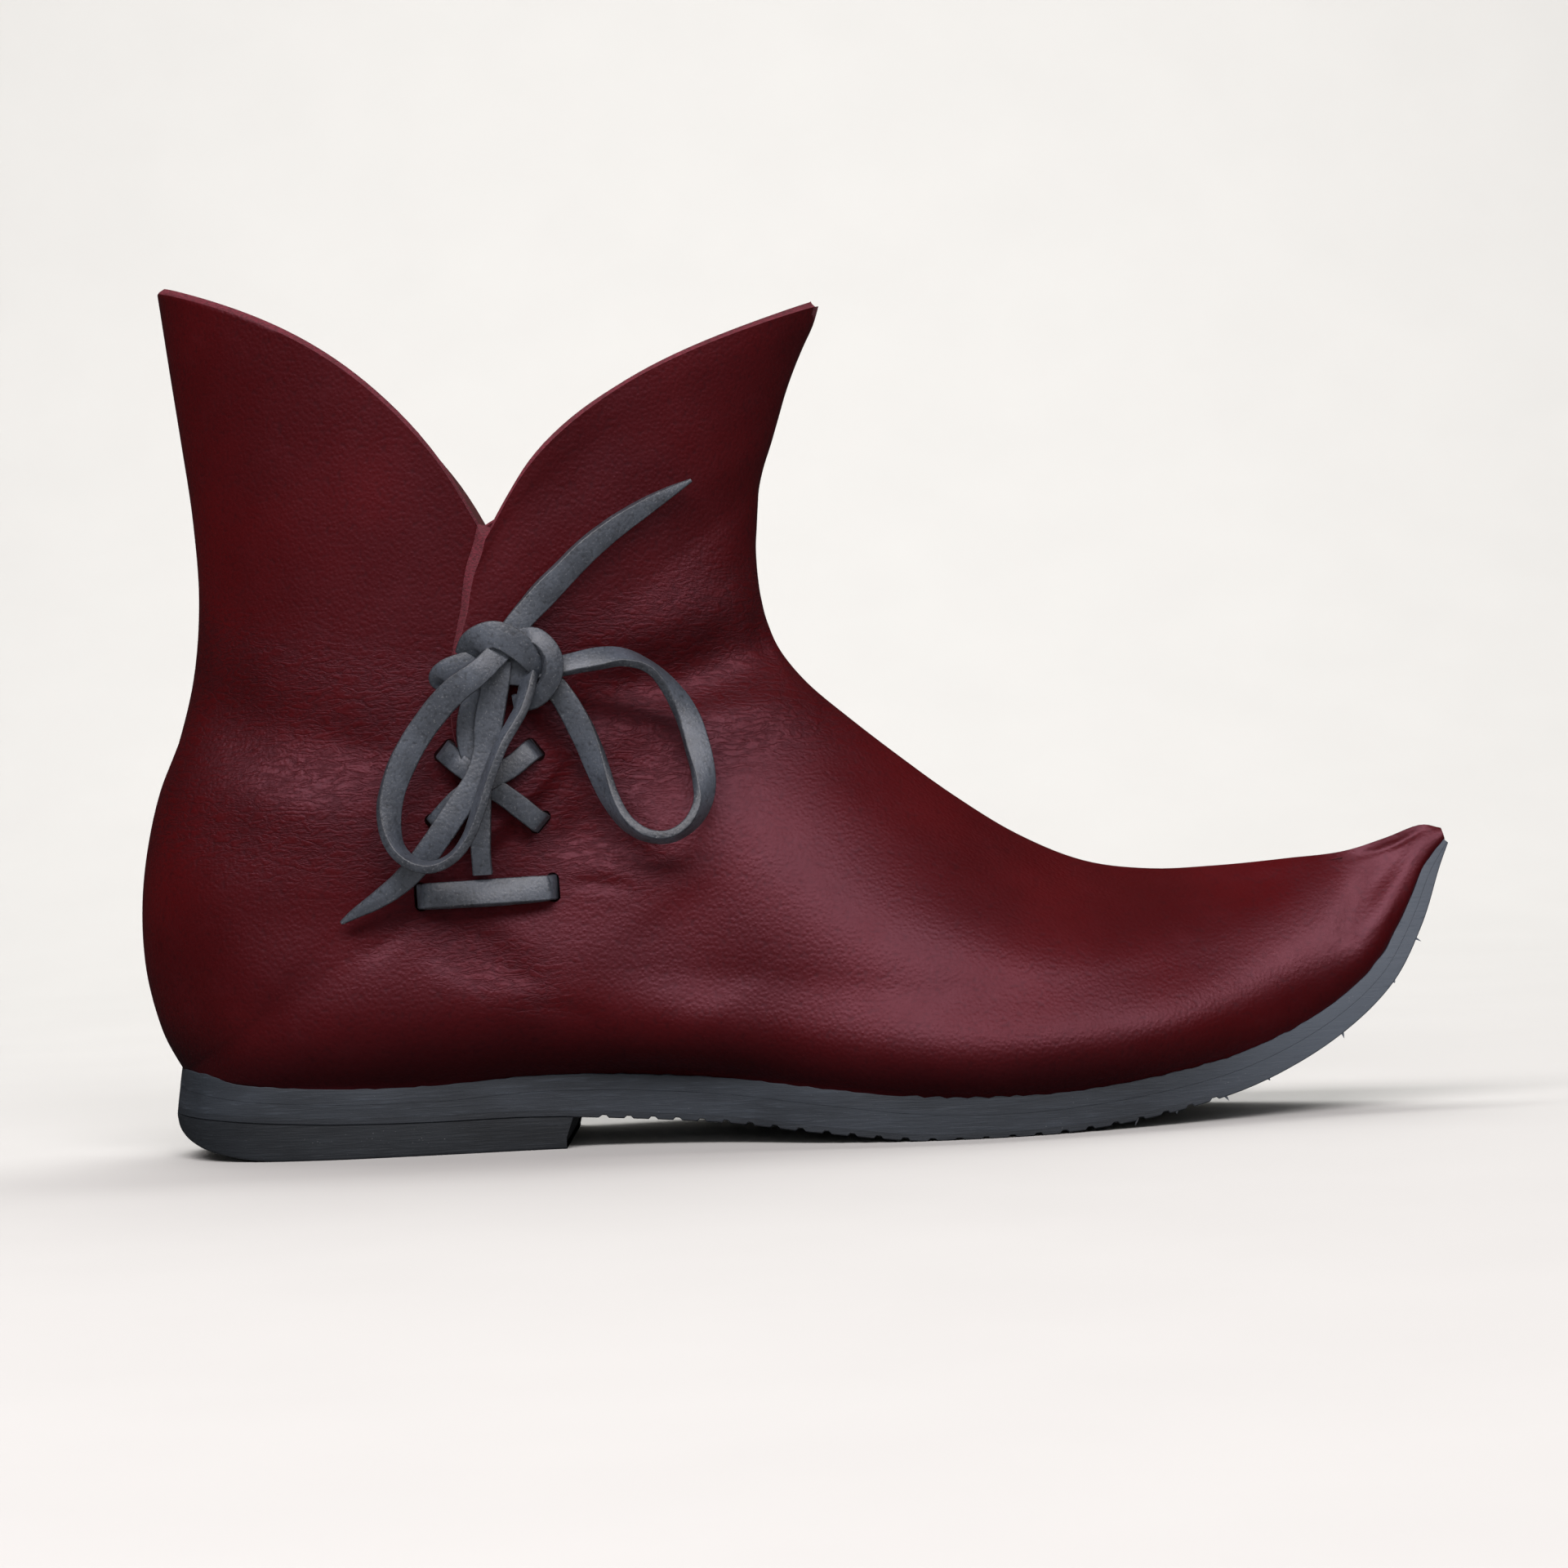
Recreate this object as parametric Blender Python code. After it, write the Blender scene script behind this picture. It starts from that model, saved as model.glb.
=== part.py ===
"""Side-laced ankle shoe with a low heel and a pointed, upturned toe.

All tables and sizes are in millimetres. The toe points to +X, the lacing faces -Y
and the shoe stands on z = 0.
"""
import math

import bmesh
import bpy
import numpy as np
from mathutils import Vector

MM = 0.001
COLLECTION_NAME = "poulaine_shoe"

# Leather and clearances
WALL = 2.0
SEAT_GAP = 0.3
INSOLE_THICKNESS = 2.0
INSOLE_GAP = 1.0
CENTRE_SHIFT = (0.05, -0.265)

# Sections from the toe tip to the back of the heel: each runs from the ridge over the
# foot (ridge) down to the edge of the sole (base)
FOOT_COLUMNS = (
    "ridge_x", "ridge_z", "base_x", "base_z", "base_inner", "base_outer", "full_inner", "full_outer",
    "ridge_power", "base_power", "sag", "slit", "sole")
FOOT_ROWS = (
    (155.3, 64.6, 154.9, 61.9, 0.9, 0.9, 1.2, 1.2, 0.80, 0.60, 0.0, 0.500, 1.2),
    (149.5, 66.2, 149.4, 55.4, 2.8, 3.0, 3.4, 3.8, 0.80, 0.58, 0.0, 0.500, 3.7),
    (141.0, 63.4, 143.6, 44.2, 5.6, 6.4, 6.6, 7.6, 0.80, 0.56, 0.0, 0.500, 4.9),
    (130.5, 60.6, 135.2, 32.6, 9.6, 11.0, 11.2, 12.6, 0.80, 0.54, 0.0, 0.500, 5.9),
    (117.0, 59.6, 121.5, 22.9, 14.8, 16.6, 17.0, 18.8, 0.80, 0.52, 0.0, 0.500, 6.9),
    (101.0, 58.7, 104.0, 15.7, 22.0, 24.0, 24.8, 26.6, 0.80, 0.50, 0.0, 0.500, 7.9),
    (85.0, 58.6, 86.0, 11.9, 30.0, 31.0, 32.8, 33.8, 0.82, 0.50, 0.0, 0.500, 8.6),
    (69.0, 61.2, 66.5, 9.6, 38.0, 38.0, 40.6, 40.6, 0.84, 0.50, 0.0, 0.500, 8.9),
    (53.5, 68.2, 47.0, 8.8, 44.0, 43.0, 46.2, 45.4, 0.84, 0.50, 0.0, 0.500, 9.0),
    (39.0, 77.9, 27.0, 9.6, 45.0, 45.6, 47.2, 47.8, 0.84, 0.50, 0.0, 0.500, 9.6),
    (26.0, 88.1, 5.0, 12.2, 40.5, 44.6, 43.6, 47.0, 0.79, 0.50, 0.0, 0.500, 9.9),
    (14.2, 97.9, -17.0, 14.9, 31.5, 40.6, 38.6, 43.6, 0.73, 0.50, 0.0, 0.500, 10.1),
    (5.2, 106.1, -40.0, 16.5, 26.5, 35.8, 35.4, 39.8, 0.67, 0.50, 0.5, 0.500, 10.1),
    (-0.9, 114.0, -62.0, 17.0, 26.8, 32.8, 34.4, 37.2, 0.62, 0.50, 2.0, 0.500, 9.4),
    (-3.8, 121.0, -86.0, 15.8, 29.4, 31.8, 34.2, 36.0, 0.59, 0.49, 5.0, 0.497, 8.2),
    (-5.1, 127.0, -108.0, 16.0, 30.8, 31.6, 34.4, 35.4, 0.58, 0.48, 9.0, 0.493, 8.0),
    (-5.6, 131.5, -128.0, 17.4, 27.4, 27.6, 34.4, 35.0, 0.58, 0.46, 12.0, 0.490, 8.4),
    (-5.8, 135.5, -141.0, 19.2, 17.4, 17.4, 34.4, 34.6, 0.59, 0.44, 13.0, 0.487, 9.4),
    (-5.8, 139.5, -147.0, 20.1, 0.0, 0.0, 34.4, 34.6, 0.60, 0.43, 12.0, 0.467, 10.0),
)
# Sections from the back of the heel to the collar: each runs from the ridge to the back line
SHAFT_COLUMNS = (
    "ridge_x", "ridge_z", "base_x", "base_z", "full", "ridge_power", "base_power", "sag", "notch", "slit")
SHAFT_ROWS = (
    (-5.4, 144.0, -151.8, 29.5, 34.8, 0.62, 0.45, 11.0, 0.0, 0.457),
    (-5.0, 148.5, -155.2, 44.0, 34.8, 0.64, 0.47, 10.0, 0.0, 0.459),
    (-4.5, 153.0, -155.4, 60.0, 34.3, 0.66, 0.49, 8.0, 2.0, 0.470),
    (-3.2, 158.0, -152.6, 77.5, 33.4, 0.67, 0.52, 6.0, 5.0, 0.486),
    (-1.2, 163.5, -146.4, 95.0, 32.4, 0.68, 0.54, 4.0, 10.0, 0.511),
    (0.8, 169.5, -141.3, 113.0, 31.7, 0.69, 0.55, 2.0, 16.0, 0.524),
    (2.8, 175.5, -139.2, 132.0, 31.3, 0.69, 0.56, 0.0, 26.0, 0.530),
    (5.0, 181.0, -139.9, 151.0, 31.1, 0.69, 0.56, 0.0, 34.5, 0.530),
    (7.4, 186.2, -141.9, 169.5, 31.1, 0.69, 0.56, 0.0, 42.0, 0.523),
    (10.0, 191.4, -144.1, 188.0, 31.3, 0.69, 0.56, 0.0, 49.5, 0.512),
    (11.7, 196.5, -146.2, 206.1, 31.6, 0.69, 0.56, 0.0, 56.4, 0.502),
)
HEEL_ROW = len(FOOT_ROWS) - 1
COLLAR_ROW = HEEL_ROW + len(SHAFT_ROWS)
CAVITY_ROW = 3
SLIT_ROW = 17

# Steps between two rows: (first row, last row, steps for each row)
STATION_STEPS = ((0, 3, 1), (3, 16, 2), (16, 18, 3), (18, 29, 1))
# Share of the way from the ridge to the base, one number for each column of the grid
COLUMN_SHARES = (
    0.0, 0.012, 0.05, 0.11, 0.18, 0.25, 0.32, 0.38, 0.43, 0.465, 0.5,
    0.535, 0.58, 0.64, 0.70, 0.76, 0.82, 0.88, 0.93, 0.975, 1.0)
SLIT_COLUMN = COLUMN_SHARES.index(0.5)

# The V of the collar: share of a straight fall in each arc and the power of the rest
FRONT_ARC = (0.60, 4.0)
BACK_ARC = (0.42, 3.3)

# Front flap lapped over the back flap along the slit
FLAP_LIFT = 2.5
FLAP_RISE_FROM = 0.30
FLAP_RISE_TO = 0.45
FLAP_OVER = 1.8
FLAP_UNDER = 3.0
SLIT_GAP = 0.45
SLIT_OPEN_STATIONS = 3

# Sole
SOLE_MARGIN = 0.7
SOLE_START = 0.4
MIDSOLE_THICKNESS = 3.2
MIDSOLE_SHARE = 0.38
TREAD_LAYER = 1.6
TREAD_STEP = 0.4
RIB_PITCH = 5.8
RIB_CREST = 3.6
RIB_FLANK = 0.6
RIB_DEPTH = 0.6
RIB_FRONT_X = 98.0
RIB_BACK_X = -48.0

# Heel
HEEL_BREAST_X = -53.4
HEEL_BREAST_SLANT = 2.6
HEEL_ROUND_START_X = -119.0
HEEL_ROUND_LENGTH = 29.4
HEEL_ROUND_HEIGHT = 9.6

# Lace strip
LACE_THICKNESS = 2.0
LACE_COLUMNS = ("x", "z", "lift", "turn", "width")
BAR_ROWS = (
    (-86.0, 59.9, 2.0, 0, 5.6),
    (-83.5, 60.0, 2.5, 0, 6.0),
    (-71.0, 60.2, 2.8, 0, 6.2),
    (-58.5, 60.6, 2.5, 0, 6.0),
    (-55.5, 60.8, 2.0, 0, 5.8),
)
ARM_A_ROWS = (
    (-79.2, 93.2, 2.8, 0, 5.0),
    (-75.3, 89.7, 4.8, 0, 5.0),
    (-70.4, 85.9, 5.2, 0, 5.0),
    (-64.6, 81.6, 5.0, 0, 5.0),
    (-58.0, 75.9, 4.4, 0, 5.0),
)
ARM_B_ROWS = (
    (-59.0, 92.6, 4.4, 0, 5.0),
    (-63.6, 89.0, 5.0, 0, 5.0),
    (-69.8, 85.6, 5.5, 0, 5.0),
    (-76.0, 81.8, 4.8, 0, 5.0),
    (-81.8, 76.2, 2.8, 0, 5.0),
)
RISER_ROWS = (
    (-71.3, 64.6, 3.2, 0, 4.6),
    (-71.4, 70.0, 4.8, 0, 4.6),
    (-71.2, 77.0, 4.8, 0, 4.8),
    (-70.8, 84.0, 5.0, 0, 4.8),
)
BACK_STRIP_ROWS = (
    (-71.0, 84.5, 5.2, 0, 4.6),
    (-73.2, 93.0, 5.0, 0, 4.8),
    (-73.4, 99.0, 5.0, 0, 4.8),
    (-71.6, 106.0, 5.4, 0, 4.8),
)
KNOT_BAND_ROWS = (
    (-72.4, 114.6, 7.5, 0, 6.0),
    (-70.6, 117.6, 10.0, 0, 6.2),
    (-66.0, 119.0, 11.6, 0, 6.4),
    (-61.4, 116.8, 11.6, 0, 6.2),
    (-57.2, 112.6, 10.0, 0, 5.8),
    (-54.8, 109.6, 7.5, 0, 5.6),
)
KNOT_WRAP_ROWS = (
    (-60.6, 119.0, 7.0, 0, 3.6),
    (-55.8, 117.6, 8.6, 20, 3.8),
    (-53.4, 113.0, 9.0, 30, 4.0),
    (-54.4, 107.8, 8.4, 20, 4.4),
    (-58.4, 104.4, 7.0, 0, 4.4),
)
KNOT_CORE_ROWS = (
    (-71.4, 110.6, 7.2, 0, 7.0),
    (-64.0, 112.2, 8.0, 0, 9.4),
    (-57.0, 111.2, 7.4, 0, 9.0),
)
LOOP_BACK_ROWS = (
    (-70.2, 110.2, 13.6, 8, 5.8),
    (-75.4, 106.6, 12.6, 6, 6.2),
    (-80.6, 101.4, 11.2, 6, 6.2),
    (-85.6, 94.8, 10.0, 10, 6.2),
    (-89.4, 87.6, 9.4, 20, 6.0),
    (-91.4, 80.4, 9.4, 35, 5.8),
    (-90.8, 73.0, 10.0, 60, 5.6),
    (-87.4, 68.4, 11.0, 75, 5.4),
    (-82.4, 66.8, 12.2, 80, 5.4),
    (-77.4, 68.6, 12.8, 80, 5.4),
    (-73.6, 73.0, 13.2, 75, 5.4),
    (-71.0, 79.2, 13.4, 70, 5.4),
    (-68.4, 86.6, 13.4, 70, 5.4),
    (-65.4, 93.6, 13.6, 70, 5.0),
    (-62.2, 99.0, 12.8, 65, 4.6),
    (-60.4, 101.0, 11.8, 65, 4.2),
)
LOOP_FRONT_ROWS = (
    (-50.4, 111.6, 8.8, 30, 4.8),
    (-43.4, 112.8, 9.4, 35, 5.4),
    (-37.2, 113.0, 10.0, 60, 5.8),
    (-31.2, 110.4, 10.6, 78, 5.8),
    (-26.4, 105.0, 10.6, 60, 5.8),
    (-23.0, 98.6, 10.0, 35, 5.8),
    (-21.0, 91.6, 9.4, 25, 5.8),
    (-19.8, 84.6, 9.0, 40, 5.8),
    (-20.4, 78.6, 9.0, 60, 5.8),
    (-23.4, 74.0, 9.0, 72, 5.6),
    (-28.2, 71.4, 9.0, 76, 5.6),
    (-33.4, 72.0, 9.0, 74, 5.6),
    (-38.0, 75.2, 8.8, 66, 5.6),
    (-41.4, 80.6, 8.4, 55, 5.6),
    (-43.8, 86.8, 8.0, 40, 5.8),
    (-46.0, 93.2, 7.8, 20, 5.8),
    (-48.6, 99.2, 7.8, 5, 5.8),
    (-51.0, 103.4, 7.8, 0, 5.2),
)
END_UPPER_ROWS = (
    (-60.2, 122.4, 6.4, 0, 5.6),
    (-55.4, 127.6, 5.6, 0, 6.2),
    (-50.0, 132.9, 5.2, 0, 6.0),
    (-44.4, 138.2, 5.0, 0, 5.8),
    (-38.0, 143.2, 4.6, 0, 5.2),
    (-31.6, 147.4, 4.2, 0, 4.2),
    (-25.6, 151.0, 3.8, 0, 2.6),
    (-20.5, 153.8, 3.4, 0, 0.9),
)
END_LOWER_ROWS = (
    (-66.6, 106.7, 8.6, 0, 5.4),
    (-68.2, 99.4, 8.2, 0, 5.8),
    (-69.0, 92.6, 7.9, 0, 5.8),
    (-71.4, 86.4, 7.9, 0, 5.8),
    (-75.6, 80.4, 7.6, 0, 5.8),
    (-79.8, 74.6, 7.4, 5, 5.8),
    (-84.2, 69.0, 6.6, 10, 5.6),
    (-89.4, 63.8, 5.6, 10, 5.0),
    (-95.2, 59.8, 4.6, 10, 4.0),
    (-100.4, 57.0, 3.8, 10, 2.4),
    (-103.9, 54.9, 3.2, 10, 0.9),
)
LACE_STEPS = 2

# Base colours in linear light
LEATHER_RED = (0.070, 0.008, 0.013, 1.0)
LEATHER_INSIDE = (0.160, 0.050, 0.045, 1.0)
SOLE_SLATE = (0.040, 0.050, 0.062, 1.0)
HEEL_SLATE = (0.030, 0.036, 0.044, 1.0)
LACE_SLATE = (0.070, 0.080, 0.100, 1.0)


def table_columns(names, rows):
    """Turn a table into one list of numbers for each named column."""
    return {name: [row[index] for row in rows] for index, name in enumerate(names)}


FOOT = table_columns(FOOT_COLUMNS, FOOT_ROWS)
SHAFT = table_columns(SHAFT_COLUMNS, SHAFT_ROWS)


def spline(values, position, after=None):
    """Read a smooth curve through values that stand at whole positions."""
    last = len(values) - 1
    index = min(int(position), last - 1)
    part = position - index
    here = values[index]
    there = values[index + 1]
    before = values[index - 1] if index > 0 else 2 * here - there
    if index + 2 <= last:
        beyond = values[index + 2]
    else:
        beyond = after if after is not None else 2 * there - here
    return 0.5 * (2 * here + (there - before) * part
                  + (2 * before - 5 * here + 4 * there - beyond) * part ** 2
                  + (3 * here - before - 3 * there + beyond) * part ** 3)


def base_path(position):
    """Edge of the upper on the sole: x, z and the half widths towards -Y and +Y."""
    if position <= HEEL_ROW:
        turned = {"base_x": 1, "base_z": 1, "base_inner": -1, "base_outer": -1}
        return [spline(FOOT[name], position, sign * FOOT[name][-2]) for name, sign in turned.items()]
    heel_x = [FOOT["base_x"][-1]] + SHAFT["base_x"]
    heel_z = [FOOT["base_z"][-1]] + SHAFT["base_z"]
    along = position - HEEL_ROW
    return [spline(heel_x, along), spline(heel_z, along), 0.0, 0.0]


def section(position):
    """All sizes of the section at a position between two rows."""
    whole = {}
    for name in ("ridge_x", "ridge_z", "ridge_power", "base_power", "sag", "slit"):
        whole[name] = spline(FOOT[name] + SHAFT[name], position)
    whole["full_inner"] = spline(FOOT["full_inner"] + SHAFT["full"], position)
    whole["full_outer"] = spline(FOOT["full_outer"] + SHAFT["full"], position)
    whole["notch"] = max(0.0, spline([0.0] * len(FOOT_ROWS) + SHAFT["notch"], position))
    whole["base_x"], whole["base_z"], whole["base_inner"], whole["base_outer"] = base_path(position)
    return whole


def arc(share, ridge_power, base_power):
    """Half width of a closed arc, 1 at its widest."""
    widest = ridge_power / (ridge_power + base_power)
    return (share / widest) ** ridge_power * ((1 - share) / (1 - widest)) ** base_power


def arc_end(ratio, ridge_power, base_power):
    """Share of the arc at which it has come back to a given part of its full width."""
    low = ridge_power / (ridge_power + base_power)
    high = 1.0
    for _ in range(40):
        middle = 0.5 * (low + high)
        if arc(middle, ridge_power, base_power) > ratio:
            low = middle
        else:
            high = middle
    return high


def notch_fall(share):
    """Fall of the V in the collar, 1 at its point."""
    if share <= 0.5:
        way = 2 * share
        straight, power = FRONT_ARC
    else:
        way = 2 * (1 - share)
        straight, power = BACK_ARC
    return straight * way + (1 - straight) * way ** power


def upper_point(position, share, side):
    """Outer face of the upper. Side is -1 for the laced half and 1 for the plain half."""
    sizes = section(position)
    chord = share + (sizes["slit"] - 0.5) * 4 * share * (1 - share)
    x = sizes["ridge_x"] + (sizes["base_x"] - sizes["ridge_x"]) * chord
    z = sizes["ridge_z"] + (sizes["base_z"] - sizes["ridge_z"]) * chord
    z -= sizes["notch"] * notch_fall(share) + sizes["sag"] * math.sin(math.pi * share)
    name = "inner" if side < 0 else "outer"
    full = sizes["full_" + name]
    powers = (sizes["ridge_power"], sizes["base_power"])
    end = arc_end(max(0.0, sizes["base_" + name]) / full, *powers)
    y = side * full * arc(min(1.0, chord * end), *powers)
    if share == 0.0 or (share == 1.0 and position >= HEEL_ROW):
        y = 0.0
    return Vector((x, y, z))


def smooth(value):
    """Ease from 0 to 1."""
    value = min(1.0, max(0.0, value))
    return value * value * (3 - 2 * value)


def station_positions():
    """Positions of the stations of the upper along its rows."""
    positions = []
    for first, last, steps in STATION_STEPS:
        positions += [first + index / steps for index in range((last - first) * steps)]
    return positions + [float(COLLAR_ROW)]


def flap_point(position, opened, column, flap):
    """Laced half of the upper near the slit, with the front flap raised over the back flap."""
    share = COLUMN_SHARES[column]
    sizes = section(position)
    span = math.hypot(sizes["ridge_x"] - sizes["base_x"], sizes["ridge_z"] - sizes["base_z"])
    lifted = smooth(opened / SLIT_OPEN_STATIONS)
    lapped = smooth(opened / SLIT_OPEN_STATIONS - 1)
    if column == SLIT_COLUMN and opened > 0:
        gap = 0.5 * SLIT_GAP * (1 - lapped)
        if flap == "front":
            share += (FLAP_OVER * lapped - gap) / span
        else:
            share -= (FLAP_UNDER * lapped - gap) / span
    point = upper_point(position, share, -1)
    if flap == "front" and opened > 0:
        rise = smooth((share - FLAP_RISE_FROM) / (FLAP_RISE_TO - FLAP_RISE_FROM))
        point.y -= FLAP_LIFT * lifted * rise
    return point


def sole_frame(position):
    """Unit normal of the sole's top in the side view, pointing up into the shoe."""
    reach = 0.05
    low = max(0.0, min(position, HEEL_ROW - 0.6) - reach)
    first = base_path(low)
    second = base_path(low + 2 * reach)
    along = Vector((second[0] - first[0], 0.0, second[1] - first[1])).normalized()
    return Vector((along.z, 0.0, -along.x))


def sole_edge(position, side, inset):
    """Point of the sole's top outline, moved inwards by inset in the plane of the sole."""
    reach = 0.02
    ends = []
    for place in (max(0.0, position - reach), min(float(HEEL_ROW), position + reach)):
        x, z, inner, outer = base_path(place)
        ends.append(Vector((x, -inner if side < 0 else outer, z)))
    x, z, inner, outer = base_path(position)
    point = Vector((x, -inner if side < 0 else outer, z))
    along = ends[1] - ends[0]
    if position >= HEEL_ROW:
        along = Vector((0.0, -side, 0.0))
    inward = sole_frame(position).cross(along).normalized() * side
    point += inward * inset
    if position >= HEEL_ROW:
        point.y = 0.0
    return point


def new_object(name, mesh_builder, colour, roughness):
    """Make a named object from a bmesh in millimetres, with a material of its own."""
    mesh_builder.normal_update()
    bmesh.ops.recalc_face_normals(mesh_builder, faces=mesh_builder.faces)
    shift = Vector((CENTRE_SHIFT[0], CENTRE_SHIFT[1], 0.0))
    for vert in mesh_builder.verts:
        vert.co = (vert.co + shift) * MM
    mesh = bpy.data.meshes.new(name)
    mesh_builder.to_mesh(mesh)
    mesh_builder.free()
    item = bpy.data.objects.new(name, mesh)
    PART_COLLECTION.objects.link(item)
    material = bpy.data.materials.new(name + "_material")
    material.use_nodes = True
    shader = material.node_tree.nodes["Principled BSDF"]
    shader.inputs["Base Color"].default_value = colour
    shader.inputs["Roughness"].default_value = roughness
    mesh.materials.append(material)
    return item


def build_upper():
    """One hollow solid: outer skin, inner skin, and the rims that join them."""
    positions = station_positions()
    heel = positions.index(float(HEEL_ROW))
    cavity = positions.index(float(CAVITY_ROW))
    slit_end = positions.index(float(SLIT_ROW))
    last = len(positions) - 1
    columns = len(COLUMN_SHARES)
    foot = columns - 1
    builder = bmesh.new()
    skins = ({}, {})

    def key(station, column, side, flap):
        if column == 0 or (column == foot and station >= heel):
            side = 0
        if side != -1 or column != SLIT_COLUMN or station <= slit_end:
            flap = ""
        return station, column, side, flap

    def corners(station, column, side, flap=""):
        return [(station, column, side, flap), (station, column + 1, side, flap),
                (station + 1, column + 1, side, flap), (station + 1, column, side, flap)]

    def cell_flap(column, side):
        if side == 1:
            return ""
        return "front" if column < SLIT_COLUMN else "back"

    for station, position in enumerate(positions):
        for column in range(columns):
            for side in (-1, 1):
                for flap in ("front", "back") if side == -1 else ("",):
                    place = key(station, column, side, flap)
                    if place in skins[0]:
                        continue
                    if side == 1:
                        point = upper_point(position, COLUMN_SHARES[column], side)
                    else:
                        near = "front" if column < SLIT_COLUMN else "back"
                        near = flap if column == SLIT_COLUMN else near
                        point = flap_point(position, station - slit_end, column, near)
                    skins[0][place] = builder.verts.new(point)

    def add_cells(layer, first):
        for station in range(first, last):
            for column in range(columns - 1):
                for side in (-1, 1):
                    loop = corners(station, column, side, cell_flap(column, side))
                    verts = [skins[layer][key(*corner)] for corner in loop]
                    if (side == 1) != (layer == 0):
                        verts.reverse()
                    builder.faces.new(verts)

    add_cells(0, 0)
    builder.normal_update()
    inside = {}
    for place, vert in skins[0].items():
        station, column, side, flap = place
        if station < cavity:
            continue
        if column == foot and station <= heel:
            inside[place] = sole_edge(positions[station], side or 1, WALL)
            continue
        normal = vert.normal
        facing = sum(normal.dot(face.normal) for face in vert.link_faces) / len(vert.link_faces)
        inside[place] = vert.co - normal * (WALL / max(0.66, facing))
    for place, point in inside.items():
        skins[1][place] = builder.verts.new(point)
    add_cells(1, cavity)

    def outer(*place):
        return skins[0][key(*place)]

    def inner(*place):
        return skins[1][key(*place)]

    for column in range(columns - 1):
        tip = [outer(0, column, -1, ""), outer(0, column, 1, ""),
               outer(0, column + 1, 1, ""), outer(0, column + 1, -1, "")]
        end = [inner(cavity, column, 1, ""), inner(cavity, column, -1, ""),
               inner(cavity, column + 1, -1, ""), inner(cavity, column + 1, 1, "")]
        for loop in (tip, end):
            builder.faces.new(list(dict.fromkeys(loop)))
        for side in (-1, 1):
            flap = cell_flap(column, side)
            builder.faces.new([outer(last, column, side, flap), outer(last, column + 1, side, flap),
                               inner(last, column + 1, side, flap), inner(last, column, side, flap)])
    for station in range(cavity - 1):
        builder.faces.new([outer(station, foot, -1, ""), outer(station, foot, 1, ""),
                           outer(station + 1, foot, 1, ""), outer(station + 1, foot, -1, "")])
    builder.faces.new([outer(cavity - 1, foot, -1, ""), outer(cavity - 1, foot, 1, ""),
                       outer(cavity, foot, 1, ""), inner(cavity, foot, 1, ""),
                       inner(cavity, foot, -1, ""), outer(cavity, foot, -1, "")])
    for station in range(cavity, heel):
        for side in (-1, 1):
            builder.faces.new([outer(station, foot, side, ""), inner(station, foot, side, ""),
                               inner(station + 1, foot, side, ""), outer(station + 1, foot, side, "")])
    for station in range(slit_end, last):
        for flap in ("front", "back"):
            builder.faces.new([outer(station, SLIT_COLUMN, -1, flap), outer(station + 1, SLIT_COLUMN, -1, flap),
                               inner(station + 1, SLIT_COLUMN, -1, flap), inner(station, SLIT_COLUMN, -1, flap)])
    return new_object("upper", builder, LEATHER_RED, 0.42)


def close_loft(builder, rings):
    """Close a loft of rings of points. Points of a ring may coincide and are then shared."""
    loops = []
    for ring in rings:
        shared = {}
        loop = []
        for point in ring:
            place = tuple(round(value, 4) for value in point)
            if place not in shared:
                shared[place] = builder.verts.new(point)
            loop.append(shared[place])
        loops.append(loop)
    count = len(rings[0])
    for first, second in zip(loops, loops[1:]):
        for index in range(count):
            following = (index + 1) % count
            loop = [first[index], first[following], second[following], second[index]]
            loop = list(dict.fromkeys(loop))
            if len(loop) > 2:
                builder.faces.new(loop)
    for loop in (loops[0], loops[-1]):
        if len(set(loop)) == count:
            builder.faces.new(loop)


def sole_thickness(position):
    """Full thickness of the sole below the upper."""
    return spline(FOOT["sole"], position)


def midsole_thickness(position):
    """Thickness of the sole's upper layer, thinner towards the toe tip."""
    return min(MIDSOLE_THICKNESS, MIDSOLE_SHARE * sole_thickness(position))


def position_at(x):
    """Position along the rows at which the edge of the sole reaches x."""
    low = 0.0
    high = float(HEEL_ROW)
    for _ in range(40):
        middle = 0.5 * (low + high)
        if base_path(middle)[0] > x:
            low = middle
        else:
            high = middle
    return high


def plain_positions(first, last):
    """Evenly laid positions for the lofts of the sole, closer round the heel."""
    positions = [first]
    place = math.floor(first * 2 + 1) / 2
    while place < last:
        positions.append(place)
        place += 0.25 if place >= HEEL_ROW - 2 else 0.5
    return positions + [last]


def build_insole():
    """Leather sole inside the upper."""
    builder = bmesh.new()
    inset = WALL + INSOLE_GAP
    rings = []
    for position in station_positions():
        if not CAVITY_ROW < position <= HEEL_ROW:
            continue
        up = sole_frame(position)
        low = [sole_edge(position, side, inset) + up * SEAT_GAP for side in (-1, 1)]
        high = [point + up * INSOLE_THICKNESS for point in low]
        rings.append([low[0], low[1], high[1], high[0]])
    close_loft(builder, rings)
    return new_object("insole", builder, LEATHER_INSIDE, 0.75)


def build_midsole():
    """Upper layer of the sole."""
    builder = bmesh.new()
    rings = []
    for position in plain_positions(SOLE_START, float(HEEL_ROW)):
        up = sole_frame(position)
        high = [sole_edge(position, side, -SOLE_MARGIN) - up * SEAT_GAP for side in (-1, 1)]
        low = [point - up * (midsole_thickness(position) - SEAT_GAP) for point in high]
        rings.append([low[0], low[1], high[1], high[0]])
    close_loft(builder, rings)
    return new_object("midsole", builder, SOLE_SLATE, 0.6)


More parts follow.
